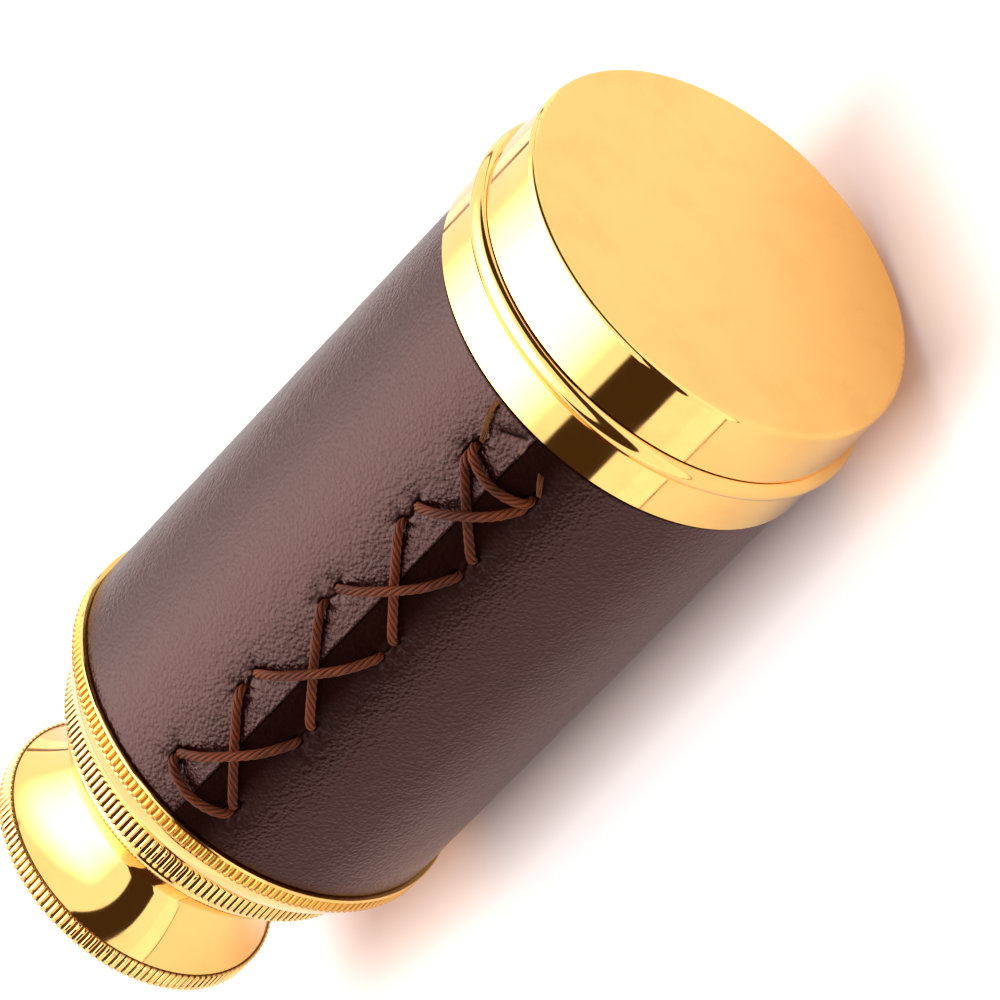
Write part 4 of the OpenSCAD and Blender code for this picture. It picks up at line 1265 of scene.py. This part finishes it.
def light_world():
    """White studio walls, a long light panel overhead and the dark room behind the viewer, as the
    polished brass mirrors them, with a soft light that casts the shadow."""
    settings = stage()
    world = bpy.data.worlds.new("studio")
    bpy.context.scene.world = world
    world.use_nodes = True
    tree = world.node_tree
    way = put(tree, "ShaderNodeTexCoord").outputs["Generated"]
    axes = separate(tree, way)
    # The panel, on a plane across its direction: `over` runs from the viewer's side to the back,
    # `along` with the barrel
    toward = Vector(settings.panel_direction).normalized()
    ahead = dot(tree, way, toward)
    depth = larger(tree, ahead, 0.05)
    over = maths(tree, "DIVIDE", dot(tree, way, toward.cross(Vector((1, 0, 0)))), depth)
    along = maths(tree, "DIVIDE", axes[0], depth)
    near = stretch(tree, over, -1.8, -0.35, smooth=True)
    back = stretch(tree, over, -0.1, 1.15, 1.0, 0.0, smooth=True)
    left = stretch(tree, along, -1.9, -1.2, smooth=True)
    right = stretch(tree, along, 0.0, 0.62, 1.0, 0.0, smooth=True)
    panel = times(tree, times(tree, near, back), times(tree, left, right))
    panel = times(tree, panel, stretch(tree, ahead, 0.0, 0.1))
    # The dark room: a low band on the viewer's side and beyond the objective, taller far back.
    # Each band has the lowest and highest slope at which it is seen.
    viewer_side, beyond = stretch(tree, axes[1], -0.35, -0.36), stretch(tree, axes[0], 0.45, 0.5)
    far_back = times(tree, beyond, stretch(tree, axes[1], -0.16, -0.10))
    bands = []
    for side, low, high in ((larger(tree, viewer_side, beyond), 0.22, 0.58),
                            (far_back, 0.15, 0.67)):
        inside = times(tree, stretch(tree, axes[2], low - 0.005, low + 0.005),
                       stretch(tree, axes[2], high - 0.008, high + 0.008, 1.0, 0.0))
        bands.append(times(tree, inside, side))
    opening = larger(tree, *bands)
    mirrored = plus(tree, times(tree, panel, settings.panel_strength), settings.wall_strength)
    mirror_side = blend_colours(tree, opening, mirrored, opaque(settings.opening_colour))
    key = stretch(tree, dot(tree, way, Vector(settings.key_direction).normalized()),
                  math.cos(math.radians(50)), math.cos(math.radians(14)), 0.0,
                  settings.key_strength, smooth=True)
    soft = times(tree, plus(tree, key, settings.fill_strength),
                 minus(tree, 1.0, times(tree, opening, 0.8)))
    lit = blend_colours(tree, seen_directly(tree), soft, mirror_side)
    path = put(tree, "ShaderNodeLightPath").outputs
    fill(tree, tree.nodes["Background"], {
        "Color": blend_colours(tree, path["Is Camera Ray"], lit, (1, 1, 1, 1)),
        "Strength": 1.0})


class SPYGLASS_OT_set_stage(bpy.types.Operator):
    """Sets the camera, the pale floor and the studio light"""

    bl_idname = "spyglass.set_stage"
    bl_label = "Set stage"

    def execute(self, context):
        settings = stage()
        context.scene.view_settings.view_transform = "Standard"
        floor = bpy.data.meshes.new("floor")
        half = 4.0
        floor.from_pydata([(-half, -half, 0), (half, -half, 0), (half, half, 0), (-half, half, 0)],
                          [], [(0, 1, 2, 3)])
        floor.materials.append(floor_material())
        ground = bpy.data.objects.new("floor", floor)
        context.scene.collection.objects.link(ground)
        light_world()
        az, el, roll = settings.azimuth, settings.elevation, settings.roll
        back = Vector((math.cos(el) * math.cos(az), -math.cos(el) * math.sin(az), math.sin(el)))
        level = Vector((math.sin(az), math.cos(az), 0))
        right = level * math.cos(roll) + back.cross(level) * math.sin(roll)
        up = back.cross(right)
        data = bpy.data.cameras.new("camera")
        data.lens = settings.lens
        camera = bpy.data.objects.new("camera", data)
        camera.matrix_world = (Matrix.Translation(Vector(settings.aim) + back * settings.distance)
                               @ Matrix((right, up, back)).transposed().to_4x4())
        context.scene.collection.objects.link(camera)
        context.scene.camera = camera
        return {"FINISHED"}


class SPYGLASS_PT_panel(bpy.types.Panel):
    """Lists the steps that dress the spyglass"""

    bl_idname = "SPYGLASS_PT_panel"
    bl_label = "Spyglass"
    bl_space_type = "VIEW_3D"
    bl_region_type = "UI"
    bl_category = "Spyglass"

    def draw(self, context):
        for settings in (stage(), brass(), knurl(), leather(), lacing()):
            for key in settings.__annotations__:
                self.layout.prop(settings, key)
        for step in STEPS:
            self.layout.operator(step.bl_idname)


STEPS = (SPYGLASS_OT_set_stage, SPYGLASS_OT_dress_brass, SPYGLASS_OT_dress_optics,
         SPYGLASS_OT_turn_end_ring, SPYGLASS_OT_turn_first_collar, SPYGLASS_OT_turn_bell,
         SPYGLASS_OT_wrap_leather, SPYGLASS_OT_lace_leather)
SETTINGS = {"spyglass_leather": LeatherSettings, "spyglass_lacing": LacingSettings,
            "spyglass_brass": BrassSettings, "spyglass_knurl": KnurlSettings,
            "spyglass_stage": StageSettings}


def register():
    for part in (*SETTINGS.values(), *STEPS, SPYGLASS_PT_panel):
        bpy.utils.register_class(part)
    for name, group in SETTINGS.items():
        setattr(bpy.types.Scene, name, bpy.props.PointerProperty(type=group))


def unregister():
    for name in SETTINGS:
        delattr(bpy.types.Scene, name)
    for part in reversed((*SETTINGS.values(), *STEPS, SPYGLASS_PT_panel)):
        bpy.utils.unregister_class(part)


def main():
    register()
    bpy.ops.spyglass.set_stage()
    bpy.ops.spyglass.dress_brass()
    bpy.ops.spyglass.dress_optics()
    bpy.ops.spyglass.turn_end_ring()
    bpy.ops.spyglass.turn_first_collar()
    bpy.ops.spyglass.turn_bell()
    bpy.ops.spyglass.wrap_leather()
    bpy.ops.spyglass.lace_leather()
    bpy.context.view_layer.update()


if __name__ == "__main__":
    main()
